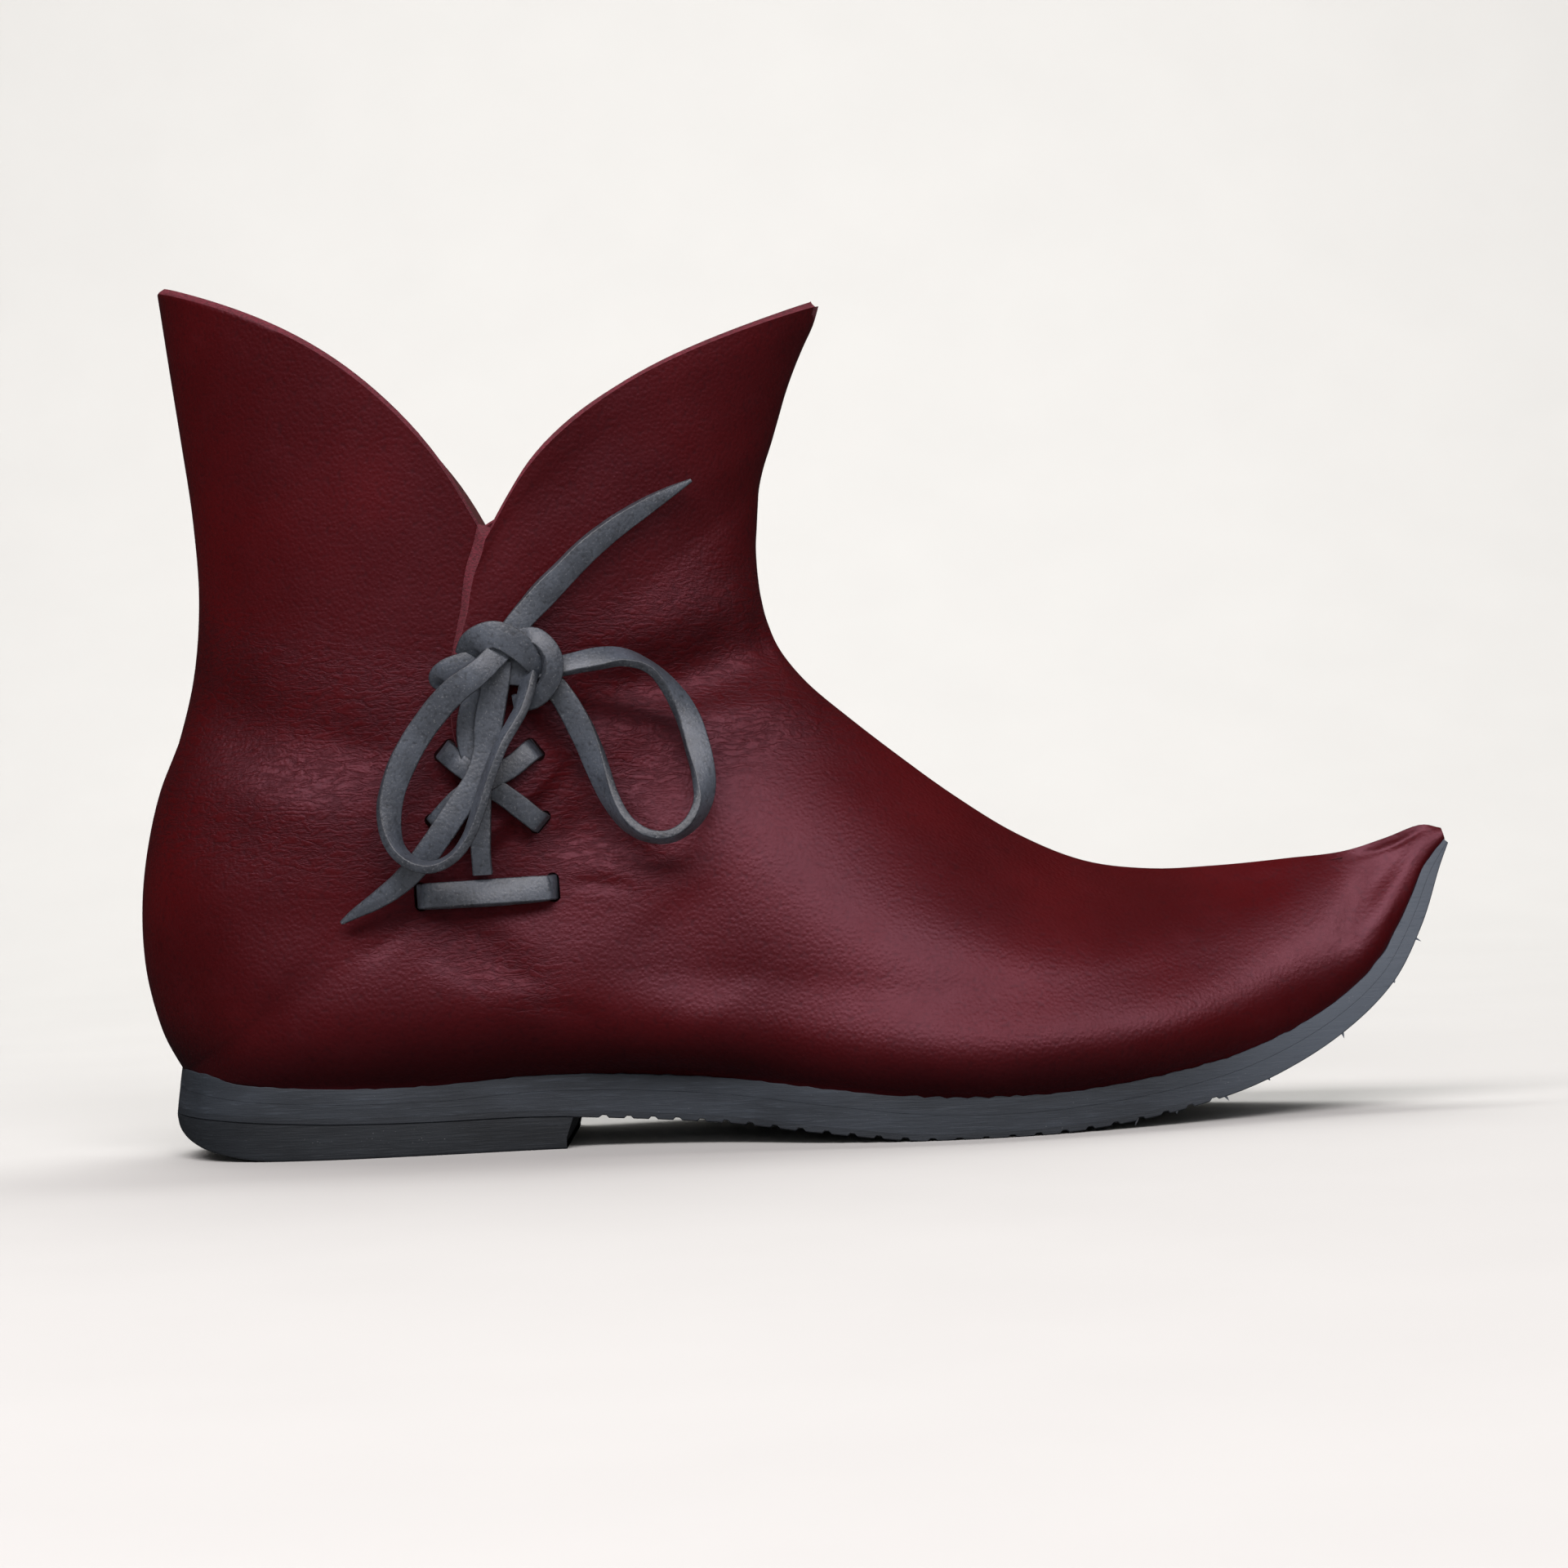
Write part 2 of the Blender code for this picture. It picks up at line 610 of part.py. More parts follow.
def outsole_positions():
    """Positions of the outsole's stations and whether each lies in a groove of the tread."""
    marks = [(position, False) for position in plain_positions(SOLE_START, position_at(RIB_FRONT_X + 2))]
    crest = RIB_FRONT_X
    while crest - RIB_PITCH > RIB_BACK_X:
        groove = crest - RIB_CREST - RIB_FLANK
        ridge = crest - RIB_PITCH
        marks += [(position_at(crest), False), (position_at(crest - RIB_CREST), False),
                  (position_at(groove), True), (position_at(ridge + RIB_FLANK), True)]
        crest = ridge
    marks.append((position_at(crest), False))
    back = plain_positions(position_at(HEEL_BREAST_X), float(HEEL_ROW))
    return marks + [(position, False) for position in back]


def outsole_ring(position, grooved):
    """Section of the outsole: the tread layer is set in a little from the layer above it."""
    up = sole_frame(position)
    top_depth = midsole_thickness(position) + SEAT_GAP
    full_depth = max(sole_thickness(position), top_depth + SEAT_GAP)
    tread = min(TREAD_LAYER, 0.4 * (full_depth - top_depth))
    ring = []
    for side in (-1, 1):
        edge = sole_edge(position, side, -SOLE_MARGIN)
        stepped = sole_edge(position, side, TREAD_STEP - SOLE_MARGIN)
        low = stepped - up * full_depth
        low.z = max(0.0, low.z)
        if grooved:
            low.z += RIB_DEPTH
        points = [edge - up * top_depth, edge - up * (full_depth - tread),
                  stepped - up * (full_depth - tread), low]
        ring += points if side < 0 else points[::-1]
    return ring


def build_outsole():
    """Lower layer of the sole with the cross ribs of its tread."""
    builder = bmesh.new()
    close_loft(builder, [outsole_ring(*mark) for mark in outsole_positions()])
    return new_object("outsole", builder, SOLE_SLATE, 0.65)


def heel_floor(x):
    """Height of the heel's ground face, rounded up towards the back."""
    beyond = max(0.0, HEEL_ROUND_START_X - x) / HEEL_ROUND_LENGTH
    return HEEL_ROUND_HEIGHT * (1 - math.sqrt(max(0.0, 1 - beyond * beyond)))


def build_heel():
    """Heel block under the outsole."""
    builder = bmesh.new()
    rings = []
    for index, position in enumerate(plain_positions(position_at(HEEL_BREAST_X), float(HEEL_ROW))):
        ring = outsole_ring(position, False)
        high = [ring[3] - Vector((0, 0, SEAT_GAP)), ring[4] - Vector((0, 0, SEAT_GAP))]
        low = []
        for point in high:
            x = point.x - (HEEL_BREAST_SLANT if index == 0 else 0.0)
            low.append(Vector((x, point.y, heel_floor(point.x))))
        rings.append([low[0], low[1], high[1], high[0]])
    close_loft(builder, rings)
    return new_object("heel", builder, HEEL_SLATE, 0.6)


def leather_heights():
    """Outer face of the laced half as points (x, z, distance from the middle plane)."""
    points = []
    for step in range(2 * 8, 2 * COLLAR_ROW + 1):
        for share in np.linspace(0.04, 0.98, 48):
            point = upper_point(step / 2, float(share), -1)
            points.append((point.x, point.z, -point.y))
    return np.array(points)


def leather_height(x, z):
    """Distance of the laced half's outer face from the middle plane at a place."""
    distance = np.hypot(LEATHER[:, 0] - x, LEATHER[:, 1] - z)
    near = np.argsort(distance)[:5]
    weight = 1.0 / (distance[near] + 0.3) ** 2
    return float((LEATHER[near, 2] * weight).sum() / weight.sum())


def strip_rings(rows, steps):
    """Sections of a flat lace strip that follows the leather at the table's lifts."""
    table = table_columns(LACE_COLUMNS, rows)
    count = (len(rows) - 1) * steps
    path = []
    turns = []
    widths = []
    bases = [leather_height(row[0], row[1]) for row in rows]
    for index in range(count + 1):
        place = index / steps
        x = spline(table["x"], place)
        z = spline(table["z"], place)
        path.append(Vector((x, -(spline(bases, place) + spline(table["lift"], place)), z)))
        turns.append(math.radians(spline(table["turn"], place)))
        widths.append(spline(table["width"], place))
    rings = []
    for index, point in enumerate(path):
        before = path[max(0, index - 1)]
        after = path[min(count, index + 1)]
        along = (after - before).normalized()
        facing = Vector((0.0, -1.0, 0.0))
        facing = (facing - along * facing.dot(along)).normalized()
        across = along.cross(facing)
        turned = across * math.cos(turns[index]) + facing * math.sin(turns[index])
        raised = facing * math.cos(turns[index]) - across * math.sin(turns[index])
        half_width = 0.5 * widths[index]
        half_thickness = 0.5 * min(LACE_THICKNESS, 2.2 * widths[index])
        corners = ((-1, -1), (1, -1), (1, 1), (-1, 1))
        rings.append([point + turned * (half_width * a) + raised * (half_thickness * b) for a, b in corners])
    return rings


def build_strip(name, rows, steps=LACE_STEPS):
    """One flat strip of the lace."""
    builder = bmesh.new()
    close_loft(builder, strip_rings(rows, steps))
    return new_object(name, builder, LACE_SLATE, 0.65)


def build_joined(name, tables):
    """Several strips of the lace joined into one solid."""
    whole = build_strip(name, tables[0], 1)
    for rows in tables[1:]:
        piece = build_strip(name + "_piece", rows, 1)
        union = whole.modifiers.new("join", "BOOLEAN")
        union.operation = "UNION"
        union.solver = "EXACT"
        union.object = piece
        graph = bpy.context.evaluated_depsgraph_get()
        joined = bpy.data.meshes.new_from_object(whole.evaluated_get(graph))
        whole.modifiers.remove(union)
        spent = whole.data
        whole.data = joined
        bpy.data.meshes.remove(spent)
        left = piece.data
        bpy.data.objects.remove(piece)
        bpy.data.meshes.remove(left)
    return whole


for stale in list(bpy.data.objects):
    bpy.data.objects.remove(stale, do_unlink=True)
PART_COLLECTION = bpy.data.collections.new(COLLECTION_NAME)
bpy.context.scene.collection.children.link(PART_COLLECTION)
LEATHER = leather_heights()

build_upper()
build_insole()
build_midsole()
build_outsole()
build_heel()
build_strip("lace_bar", BAR_ROWS)
build_joined("lace_cross", (ARM_A_ROWS, ARM_B_ROWS, RISER_ROWS, BACK_STRIP_ROWS))
build_joined("lace_knot", (KNOT_CORE_ROWS, KNOT_BAND_ROWS, KNOT_WRAP_ROWS))
build_strip("lace_loop_back", LOOP_BACK_ROWS)
build_strip("lace_loop_front", LOOP_FRONT_ROWS)
build_strip("lace_end_upper", END_UPPER_ROWS)
build_strip("lace_end_lower", END_LOWER_ROWS)
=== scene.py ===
"""Looks of a side-laced ankle shoe with a pointed, upturned toe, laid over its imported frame.

The file is laid out as an add-on and is run as a script. Its tables are in
millimetres. The toe points to +X, the lacing faces -Y and the shoe stands on z = 0.
"""

import functools
import math

import bmesh
import bpy
import numpy as np
from bpy.props import FloatProperty, FloatVectorProperty, PointerProperty
from mathutils import Matrix, Vector, noise


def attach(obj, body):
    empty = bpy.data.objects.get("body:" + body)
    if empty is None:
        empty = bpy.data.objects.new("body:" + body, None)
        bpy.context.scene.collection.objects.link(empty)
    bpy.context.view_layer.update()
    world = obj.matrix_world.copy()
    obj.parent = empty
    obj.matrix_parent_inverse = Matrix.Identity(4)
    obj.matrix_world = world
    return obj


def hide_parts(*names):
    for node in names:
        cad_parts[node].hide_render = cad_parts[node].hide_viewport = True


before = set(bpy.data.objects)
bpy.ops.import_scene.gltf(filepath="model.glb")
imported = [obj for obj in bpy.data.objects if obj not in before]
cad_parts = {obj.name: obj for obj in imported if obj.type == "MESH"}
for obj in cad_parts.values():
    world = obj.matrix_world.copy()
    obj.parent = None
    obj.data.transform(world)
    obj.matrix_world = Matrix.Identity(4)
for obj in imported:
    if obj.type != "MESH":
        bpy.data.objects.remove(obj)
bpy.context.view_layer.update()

bl_info = {
    "name": "Pointed shoe looks",
    "version": (1, 0, 0),
    "blender": (4, 5, 0),
    "location": "3D View > Sidebar > Shoe",
    "description": "Leather upper, sole and bow-tied lacing of a pointed ankle shoe",
    "category": "Object",
}

MM = 0.001

# Leather and clearances of the solids
WALL = 2.0
SEAT_GAP = 0.3
INSOLE_THICKNESS = 2.0
INSOLE_GAP = 1.0
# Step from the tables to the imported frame, which is centred
CENTRE_SHIFT = Vector((0.05, -0.265, 0.0))
# The inner skin is pushed in further where the leather folds, but by no more than this allows
WALL_FOLD_LIMIT = 0.66
# Places of the grain side and of the cut edges among the upper's materials
GRAIN_SLOT = 0
CUT_SLOT = 2

# Sections from the toe tip to the back of the heel: each runs from the ridge over the
# foot (ridge) down to the edge of the sole (base)
FOOT_COLUMNS = (
    "ridge_x", "ridge_z", "base_x", "base_z", "base_inner", "base_outer", "full_inner", "full_outer",
    "ridge_power", "base_power", "sag", "slit", "sole")
FOOT_ROWS = (
    (154.7, 65.3, 155.4, 62.6, 0.7, 0.7, 0.9, 0.9, 0.80, 0.50, 0.0, 0.500, 1.0),
    (149.5, 66.2, 149.4, 55.4, 2.8, 3.0, 3.4, 3.8, 1.15, 0.26, 0.0, 0.500, 3.7),
    (141.0, 63.4, 143.6, 44.2, 5.6, 6.4, 6.6, 7.6, 1.20, 0.24, 0.0, 0.500, 4.9),
    (130.5, 60.6, 135.2, 32.6, 9.6, 11.0, 11.2, 12.6, 1.02, 0.30, 0.0, 0.500, 5.9),
    (117.0, 59.6, 121.5, 22.9, 14.8, 16.6, 17.0, 18.8, 0.94, 0.38, 0.0, 0.500, 6.9),
    (101.0, 58.7, 104.0, 15.7, 22.0, 24.0, 24.8, 26.6, 0.90, 0.44, 0.0, 0.500, 7.9),
    (85.0, 58.6, 86.0, 11.9, 30.0, 31.0, 32.8, 33.8, 0.87, 0.49, 0.0, 0.500, 8.6),
    (69.0, 61.2, 66.5, 9.6, 38.0, 38.0, 40.6, 40.6, 0.84, 0.50, 0.0, 0.500, 8.9),
    (53.5, 68.2, 47.0, 8.8, 44.0, 43.0, 46.2, 45.4, 0.84, 0.50, 0.0, 0.500, 9.0),
    (39.0, 77.9, 27.0, 9.6, 45.0, 45.6, 47.2, 47.8, 0.84, 0.50, 0.0, 0.500, 9.6),
    (26.0, 88.1, 5.0, 12.2, 40.5, 44.6, 43.6, 47.0, 0.79, 0.50, 0.0, 0.500, 9.9),
    (14.2, 97.9, -17.0, 14.9, 31.5, 40.6, 38.6, 43.6, 0.73, 0.50, 0.0, 0.500, 10.1),
    (5.2, 106.1, -40.0, 16.5, 26.5, 35.8, 35.4, 39.8, 0.67, 0.50, 0.5, 0.500, 10.1),
    (-0.9, 114.0, -62.0, 17.0, 26.8, 32.8, 34.4, 37.2, 0.62, 0.50, 2.0, 0.500, 9.4),
    (-3.8, 121.0, -86.0, 15.8, 29.4, 31.8, 34.2, 36.0, 0.59, 0.49, 5.0, 0.497, 8.2),
    (-5.1, 127.0, -108.0, 16.0, 30.8, 31.6, 34.4, 35.4, 0.58, 0.48, 9.0, 0.493, 8.0),
    (-5.6, 131.5, -128.0, 17.4, 27.4, 27.6, 34.4, 35.0, 0.58, 0.46, 12.0, 0.490, 8.4),
    (-5.8, 135.5, -141.0, 19.2, 17.4, 17.4, 34.4, 34.6, 0.59, 0.44, 13.0, 0.487, 9.4),
    (-5.8, 139.5, -147.0, 20.1, 0.0, 0.0, 34.4, 34.6, 0.60, 0.43, 12.0, 0.467, 10.0),
)
# Sections from the back of the heel to the collar: each runs from the ridge to the back line
SHAFT_COLUMNS = (
    "ridge_x", "ridge_z", "base_x", "base_z", "full", "ridge_power", "base_power", "sag", "notch",
    "slit")
SHAFT_ROWS = (
    (-5.4, 144.0, -151.8, 29.5, 34.8, 0.62, 0.45, 11.0, 0.0, 0.457),
    (-5.0, 148.5, -155.2, 44.0, 34.8, 0.64, 0.47, 10.0, 0.0, 0.459),
    (-4.5, 153.0, -155.4, 60.0, 34.3, 0.66, 0.49, 8.0, 2.0, 0.470),
    (-3.2, 158.0, -152.6, 77.5, 33.4, 0.67, 0.52, 6.0, 5.0, 0.486),
    (-1.2, 163.5, -146.4, 95.0, 32.4, 0.68, 0.54, 4.0, 10.0, 0.511),
    (0.8, 169.5, -141.3, 113.0, 31.7, 0.69, 0.55, 2.0, 16.0, 0.524),
    (2.8, 175.5, -139.2, 132.0, 31.3, 0.69, 0.56, 0.0, 26.0, 0.530),
    (5.0, 181.0, -139.9, 151.0, 31.1, 0.69, 0.56, 0.0, 34.5, 0.530),
    (7.4, 186.2, -141.9, 169.5, 31.1, 0.69, 0.56, 0.0, 42.0, 0.523),
    (10.0, 191.4, -144.1, 188.0, 31.3, 0.69, 0.56, 0.0, 49.5, 0.512),
    (11.7, 196.5, -146.2, 206.1, 31.6, 0.69, 0.56, 0.0, 56.4, 0.502),
)
HEEL_ROW = len(FOOT_ROWS) - 1
COLLAR_ROW = HEEL_ROW + len(SHAFT_ROWS)
CAVITY_ROW = 3
SLIT_ROW = 17

# Steps between two rows: (first row, last row, steps for each row)
STATION_STEPS = ((0, 3, 5), (3, 16, 7), (16, 18, 9), (18, 29, 8))
# Share of the way from the ridge to the base at the main columns of the grid
MAIN_SHARES = (
    0.0, 0.012, 0.05, 0.11, 0.18, 0.25, 0.32, 0.38, 0.43, 0.465, 0.5,
    0.535, 0.58, 0.64, 0.70, 0.76, 0.82, 0.88, 0.93, 0.975, 1.0)
COLUMN_STEPS = 4
SLIT_COLUMN = MAIN_SHARES.index(0.5) * COLUMN_STEPS

# The V of the collar: share of a straight fall in each arc and the power of the rest
FRONT_ARC = (0.60, 4.0)
BACK_ARC = (0.42, 3.3)
V_POINT = 0.055
V_POINT_REACH = 0.045
# The plain half of the collar stands lower behind the V, as none of it shows in the photograph.
# The fall starts and ends at shares of the way from the ridge to the back line.
FAR_FALL = 1.8
FAR_FALL_ROW = 22.0
FAR_FALL_START = 0.35
FAR_FALL_RAMP = 0.15
FAR_FALL_END_RAMP = 0.12

# Swelling of the lower body over the sole, between two ends in the side view
SWELL_WIDTH = 4.0
SWELL_FOOT = 17.0
SWELL_HEIGHT = 42.0
SWELL_BACK_X = -149.0
SWELL_BACK_FADE = 22.0
SWELL_FRONT_X = 5.0
SWELL_FRONT_FADE = 45.0
# Lower swelling of the forefoot, measured up from the sole
BALL_SWELL_WIDTH = 3.2
BALL_SWELL_FOOT = 1.0
BALL_SWELL_HEIGHT = 25.0
BALL_SWELL_BACK_X = -62.0
BALL_SWELL_FRONT_X = 122.0
BALL_SWELL_FADE = 42.0
# The ankle is drawn in
WAIST_DEPTH = 2.0
WAIST_MIDDLE = 98.0
WAIST_REACH = 24.0

# Front flap lapped over the back flap along the slit
FLAP_LIFT = 2.5
FLAP_RISE_FROM = 0.30
FLAP_RISE_TO = 0.45
FLAP_OVER = 1.8
FLAP_UNDER = 3.0
SLIT_GAP = 0.45
SLIT_OPEN_STEPS = 3
SLANT_FROM_ROW = 21.0
SLANT_TO_ROW = 24.0

# Cut edges of the leather: the crown stands out by so much at two shares of the wall, and the
# collar slants down to the outside, more so on the front flap
EDGE_CROWN = 0.3
CROWN_SHARES = (0.2, 0.8)
COLLAR_SLANT = 1.0
SLIT_SLANT = 0.7
SLIT_SLANT_START = 0.2
SLIT_SLANT_RAMP = 0.15
PEAK_END = 3.4

# Creases of the leather: side -1 is the laced half, 1 the plain half and 0 both. A crease
# runs from one point to another in the side view, bowed by so much. A negative depth is a ridge.
CREASE_COLUMNS = ("side", "from_x", "from_z", "to_x", "to_z", "bow", "width", "depth")
CREASE_ROWS = (
    (-1, -142.0, 110.0, -92.0, 93.0, -3.0, 9.0, 1.7),
    (-1, -150.0, 88.0, -104.0, 78.0, 2.0, 8.0, -0.8),
    (-1, -132.0, 97.0, -104.0, 86.5, -1.0, 2.2, 0.35),
    (-1, -128.0, 91.0, -106.0, 83.0, 1.0, 1.8, 0.30),
    (-1, -110.0, 100.0, -94.0, 92.0, 0.5, 2.4, 0.35),
    (-1, -50.0, 106.0, -2.0, 116.0, -3.0, 7.0, 2.8),
    (-1, -40.0, 94.0, 8.0, 100.0, 2.0, 7.5, -0.9),
    (-1, -36.0, 118.0, -8.0, 125.0, 1.0, 6.0, -0.6),
    (-1, -30.0, 104.0, -4.0, 110.0, -1.0, 2.2, 0.45),
    (-1, -26.0, 100.0, 2.0, 105.0, 1.0, 1.8, 0.30),
    (-1, -54.0, 73.0, -33.0, 66.5, 1.5, 4.0, 1.1),
    (-1, -52.0, 78.0, -38.0, 76.0, -0.6, 2.0, 0.5),
    (-1, -51.0, 61.5, -38.0, 60.0, 0.6, 1.8, 0.4),
    (-1, -82.0, 53.0, -60.0, 40.0, -2.0, 5.0, 0.8),
    (-1, -76.0, 52.0, -64.0, 45.0, 0.8, 1.6, 0.40),
    (-1, -72.0, 47.5, -58.0, 38.0, -0.8, 1.6, 0.35),
    (-1, -84.0, 47.0, -72.0, 39.0, 0.6, 1.5, 0.30),
    (-1, -90.0, 55.0, -98.0, 47.0, 0.8, 2.2, 0.45),
    (-1, -64.0, 34.0, -46.0, 30.0, 1.0, 1.6, 0.25),
    (0, 143.0, 60.0, 129.5, 40.0, -1.0, 4.2, 0.85),
    (0, 151.0, 63.5, 136.5, 41.0, -1.5, 3.2, -0.55),
    (0, 135.0, 59.8, 150.0, 65.2, -0.8, 0.9, 0.7),
    (0, 118.0, 57.0, 96.0, 54.0, 0.5, 5.0, 0.5),
    (0, 10.0, 88.0, 30.0, 74.0, 2.0, 7.0, 0.5),
    (0, 30.0, 50.0, 78.0, 36.0, -3.0, 9.0, -0.6),
    (0, -140.0, 62.0, -118.0, 40.0, 3.0, 14.0, -0.8),
    (0, -30.0, 56.0, -16.0, 34.0, -4.0, 14.0, 0.8),
    (1, -140.0, 106.0, -88.0, 94.0, -3.0, 9.0, 1.5),
    (1, -84.0, 92.0, -40.0, 98.0, 3.0, 8.0, 1.0),
    (1, -44.0, 104.0, -2.0, 114.0, -3.0, 7.0, 1.8),
    (1, -150.0, 84.0, -60.0, 76.0, 2.0, 8.0, -0.7),
    (1, -124.0, 94.0, -98.0, 86.0, 1.0, 2.0, 0.35),
    (1, -34.0, 102.0, -6.0, 108.0, 1.0, 2.0, 0.4),
    (1, -70.0, 84.0, -46.0, 88.0, -1.0, 2.2, 0.35),
)
# A crease is shallower at its ends, and the small wrinkles round it reach further than it does
CREASE_END_SHARE = 0.3
WRINKLE_REACH = 0.55
# Creases fade out close over the sole and along the middle of the foot
CREASE_REST_HEIGHT = 7.0
CREASE_MIDDLE_WIDTH = 6.0
CREASE_MIDDLE_SHARE = 0.2
# The painted shade along the leather's lower edge fades out towards the toe as if the leather stood so
# much higher there
TOE_LIGHT = 11.0
TOE_LIGHT_X = 60.0
TOE_LIGHT_RAMP = 60.0
# Places along the shoe between which the leather gets smoother and the sole's side paler
SMOOTH_TOE_X = (50.0, 125.0)
PALE_SOLE_X = (70.0, 132.0)
UNEVEN_SIZE = 34.0
UNEVEN_HEIGHT = 0.35

# Sole: it stands out from the upper by a margin, starts just behind the toe tip, and takes
# its slope behind the heel from so many rows before
SOLE_MARGIN = 0.7
SOLE_TURN_ROWS = 0.6
SOLE_START = 0.04
MIDSOLE_THICKNESS = 3.2
MIDSOLE_SHARE = 0.38
TREAD_LAYER = 1.6
TREAD_SHARE = 0.4
TREAD_CHAMFER = 0.25
TREAD_STEP = 0.05
TREAD_STEP_END_X = 112.0
TREAD_STEP_FADE = 30.0
RIB_PITCH = 5.8
RIB_CREST = 3.6
RIB_FLANK = 0.6
RIB_DEPTH = 0.6
RIB_FRONT_X = 98.0
RIB_BACK_X = -48.0
LAYER_GAP = 0.06
SOLE_STEP = 0.08
# Sides of the layers of the sole: inset from the edge and share of the way down. The lumps of
# the upper layer raise its first points.
UPPER_LAYER_SIDE = ((0.22, 0.0), (0.05, 0.05), (0.0, 0.15), (0.0, 1.0))
RAISED_POINTS = 2
LOWER_LAYER_SIDE = ((0.03, 0.0), (0.03, 1.0))
HEEL_SIDE = ((0.0, 0.0), (0.0, 0.92), (0.06, 0.97), (0.25, 1.0))
SCALLOP_FROM_X = 22.0
SCALLOP_TO_X = 54.0
SCALLOP_PITCH = 4.6
SCALLOP_HEIGHT = 0.5
SCALLOP_FADE = 2.0
LUMP_HEIGHT = 0.32
LUMP_LENGTH = 2.7
TAB_X = -131.0
TAB_FADE = 5.0
TAB_HEIGHT = 1.0

# Small burrs of rubber along the lower edge of the sole at the toe: x of each, and the
# shares of its length at which its rings lie. Lengths and leans change from one to the next.
BURR_PLACES = (146.6, 140.4, 126.9, 108.7, 97.3, 85.2, 75.9)
BURR_LAST_ROW = 8.0
BURR_LENGTH = 1.4
BURR_RADIUS = 0.35
BURR_INSET = 0.3
BURR_ROOT = 0.1
BURR_LEAN = 0.5
BURR_FLATNESS = 0.4
BURR_TIP_SHARE = 0.05
BURR_SHARES = (-0.4, 0.0, 0.5, 1.0)
BURR_SIDES = 5

# Heel
HEEL_BREAST_X = -53.4
HEEL_BREAST_SLANT = 2.6
HEEL_ROUND_START_X = -119.0
HEEL_ROUND_LENGTH = 29.4
HEEL_ROUND_HEIGHT = 9.6

# Insole: cells across, hollow where the foot stands and the width over which it is full,
# thickness of its rim and how fast it rises from there
INSOLE_CELLS = 12
INSOLE_HOLLOW = 0.5
INSOLE_HOLLOW_WIDTH = 30.0
INSOLE_RIM_SHARE = 0.75
INSOLE_RIM_RISE = 8.0

# Lace strip: place in the side view, lift of its middle over the leather, turn about its
# own length in degrees, and width
LACE_COLUMNS = ("x", "z", "lift", "turn", "width")
BAR_ROWS = (
    (-86.0, 59.9, 2.0, 0, 5.6),
    (-83.5, 60.0, 2.5, 12, 6.0),
    (-71.0, 60.2, 2.8, 22, 6.2),
    (-58.5, 60.6, 2.5, 12, 6.0),
    (-55.5, 60.8, 2.0, 0, 5.8),
)
ARM_A_ROWS = (
    (-79.2, 93.2, 2.8, 0, 5.0),
    (-75.3, 89.7, 4.8, 0, 5.0),
    (-70.4, 85.9, 5.2, 0, 5.0),
    (-64.6, 81.6, 5.0, 0, 5.0),
    (-58.0, 75.9, 4.4, 0, 5.0),
)
ARM_B_ROWS = (
    (-59.0, 92.6, 4.4, 0, 5.0),
    (-63.6, 89.0, 5.0, 0, 5.0),
    (-69.8, 85.6, 5.5, 0, 5.0),
    (-76.0, 81.8, 4.8, 0, 5.0),
    (-81.8, 76.2, 2.8, 0, 5.0),
)
RISER_ROWS = (
    (-71.3, 64.6, 3.2, 0, 4.6),
    (-71.4, 70.0, 4.8, 0, 4.6),
    (-71.2, 77.0, 4.8, 0, 4.8),
    (-70.8, 84.0, 5.0, 0, 4.8),
)
BACK_STRIP_ROWS = (
    (-71.0, 84.5, 5.2, 0, 4.6),
    (-73.2, 93.0, 5.0, 0, 4.8),
    (-73.4, 99.0, 5.0, 0, 4.8),
    (-71.6, 106.0, 5.4, 0, 4.8),
    (-70.4, 111.0, 5.8, 0, 4.8),
)
KNOT_BAND_ROWS = (
    (-72.4, 114.6, 7.5, 0, 6.0),
    (-70.6, 117.6, 10.0, 0, 6.2),
    (-66.0, 119.0, 11.6, 0, 6.4),
    (-61.4, 116.8, 11.6, 0, 6.2),
    (-57.2, 112.6, 10.0, 0, 5.8),
    (-54.8, 109.6, 7.5, 0, 5.6),
)
KNOT_WRAP_ROWS = (
    (-61.0, 118.6, 8.0, 0, 3.6),
    (-56.4, 118.0, 11.0, 20, 4.2),
    (-53.2, 113.6, 11.8, 30, 4.6),
    (-53.8, 108.2, 11.2, 20, 4.6),
    (-57.6, 104.2, 8.8, 5, 4.4),
    (-62.4, 103.4, 6.0, 0, 4.0),
)
KNOT_CORE_ROWS = (
    (-71.4, 110.6, 7.2, 0, 7.0),
    (-64.0, 112.2, 8.0, 0, 9.4),
    (-57.0, 111.2, 7.4, 0, 9.0),
)
KNOT_TAB_ROWS = (
    (-66.5, 113.6, 6.8, 0, 4.4),
    (-71.6, 113.4, 8.0, 0, 4.6),
    (-76.4, 112.2, 8.2, 0, 4.6),
    (-79.0, 110.6, 7.0, 0, 4.6),
    (-79.2, 109.2, 5.4, 0, 4.4),
    (-76.4, 108.4, 4.6, 0, 4.2),
    (-71.4, 108.4, 5.0, 0, 4.0),
)
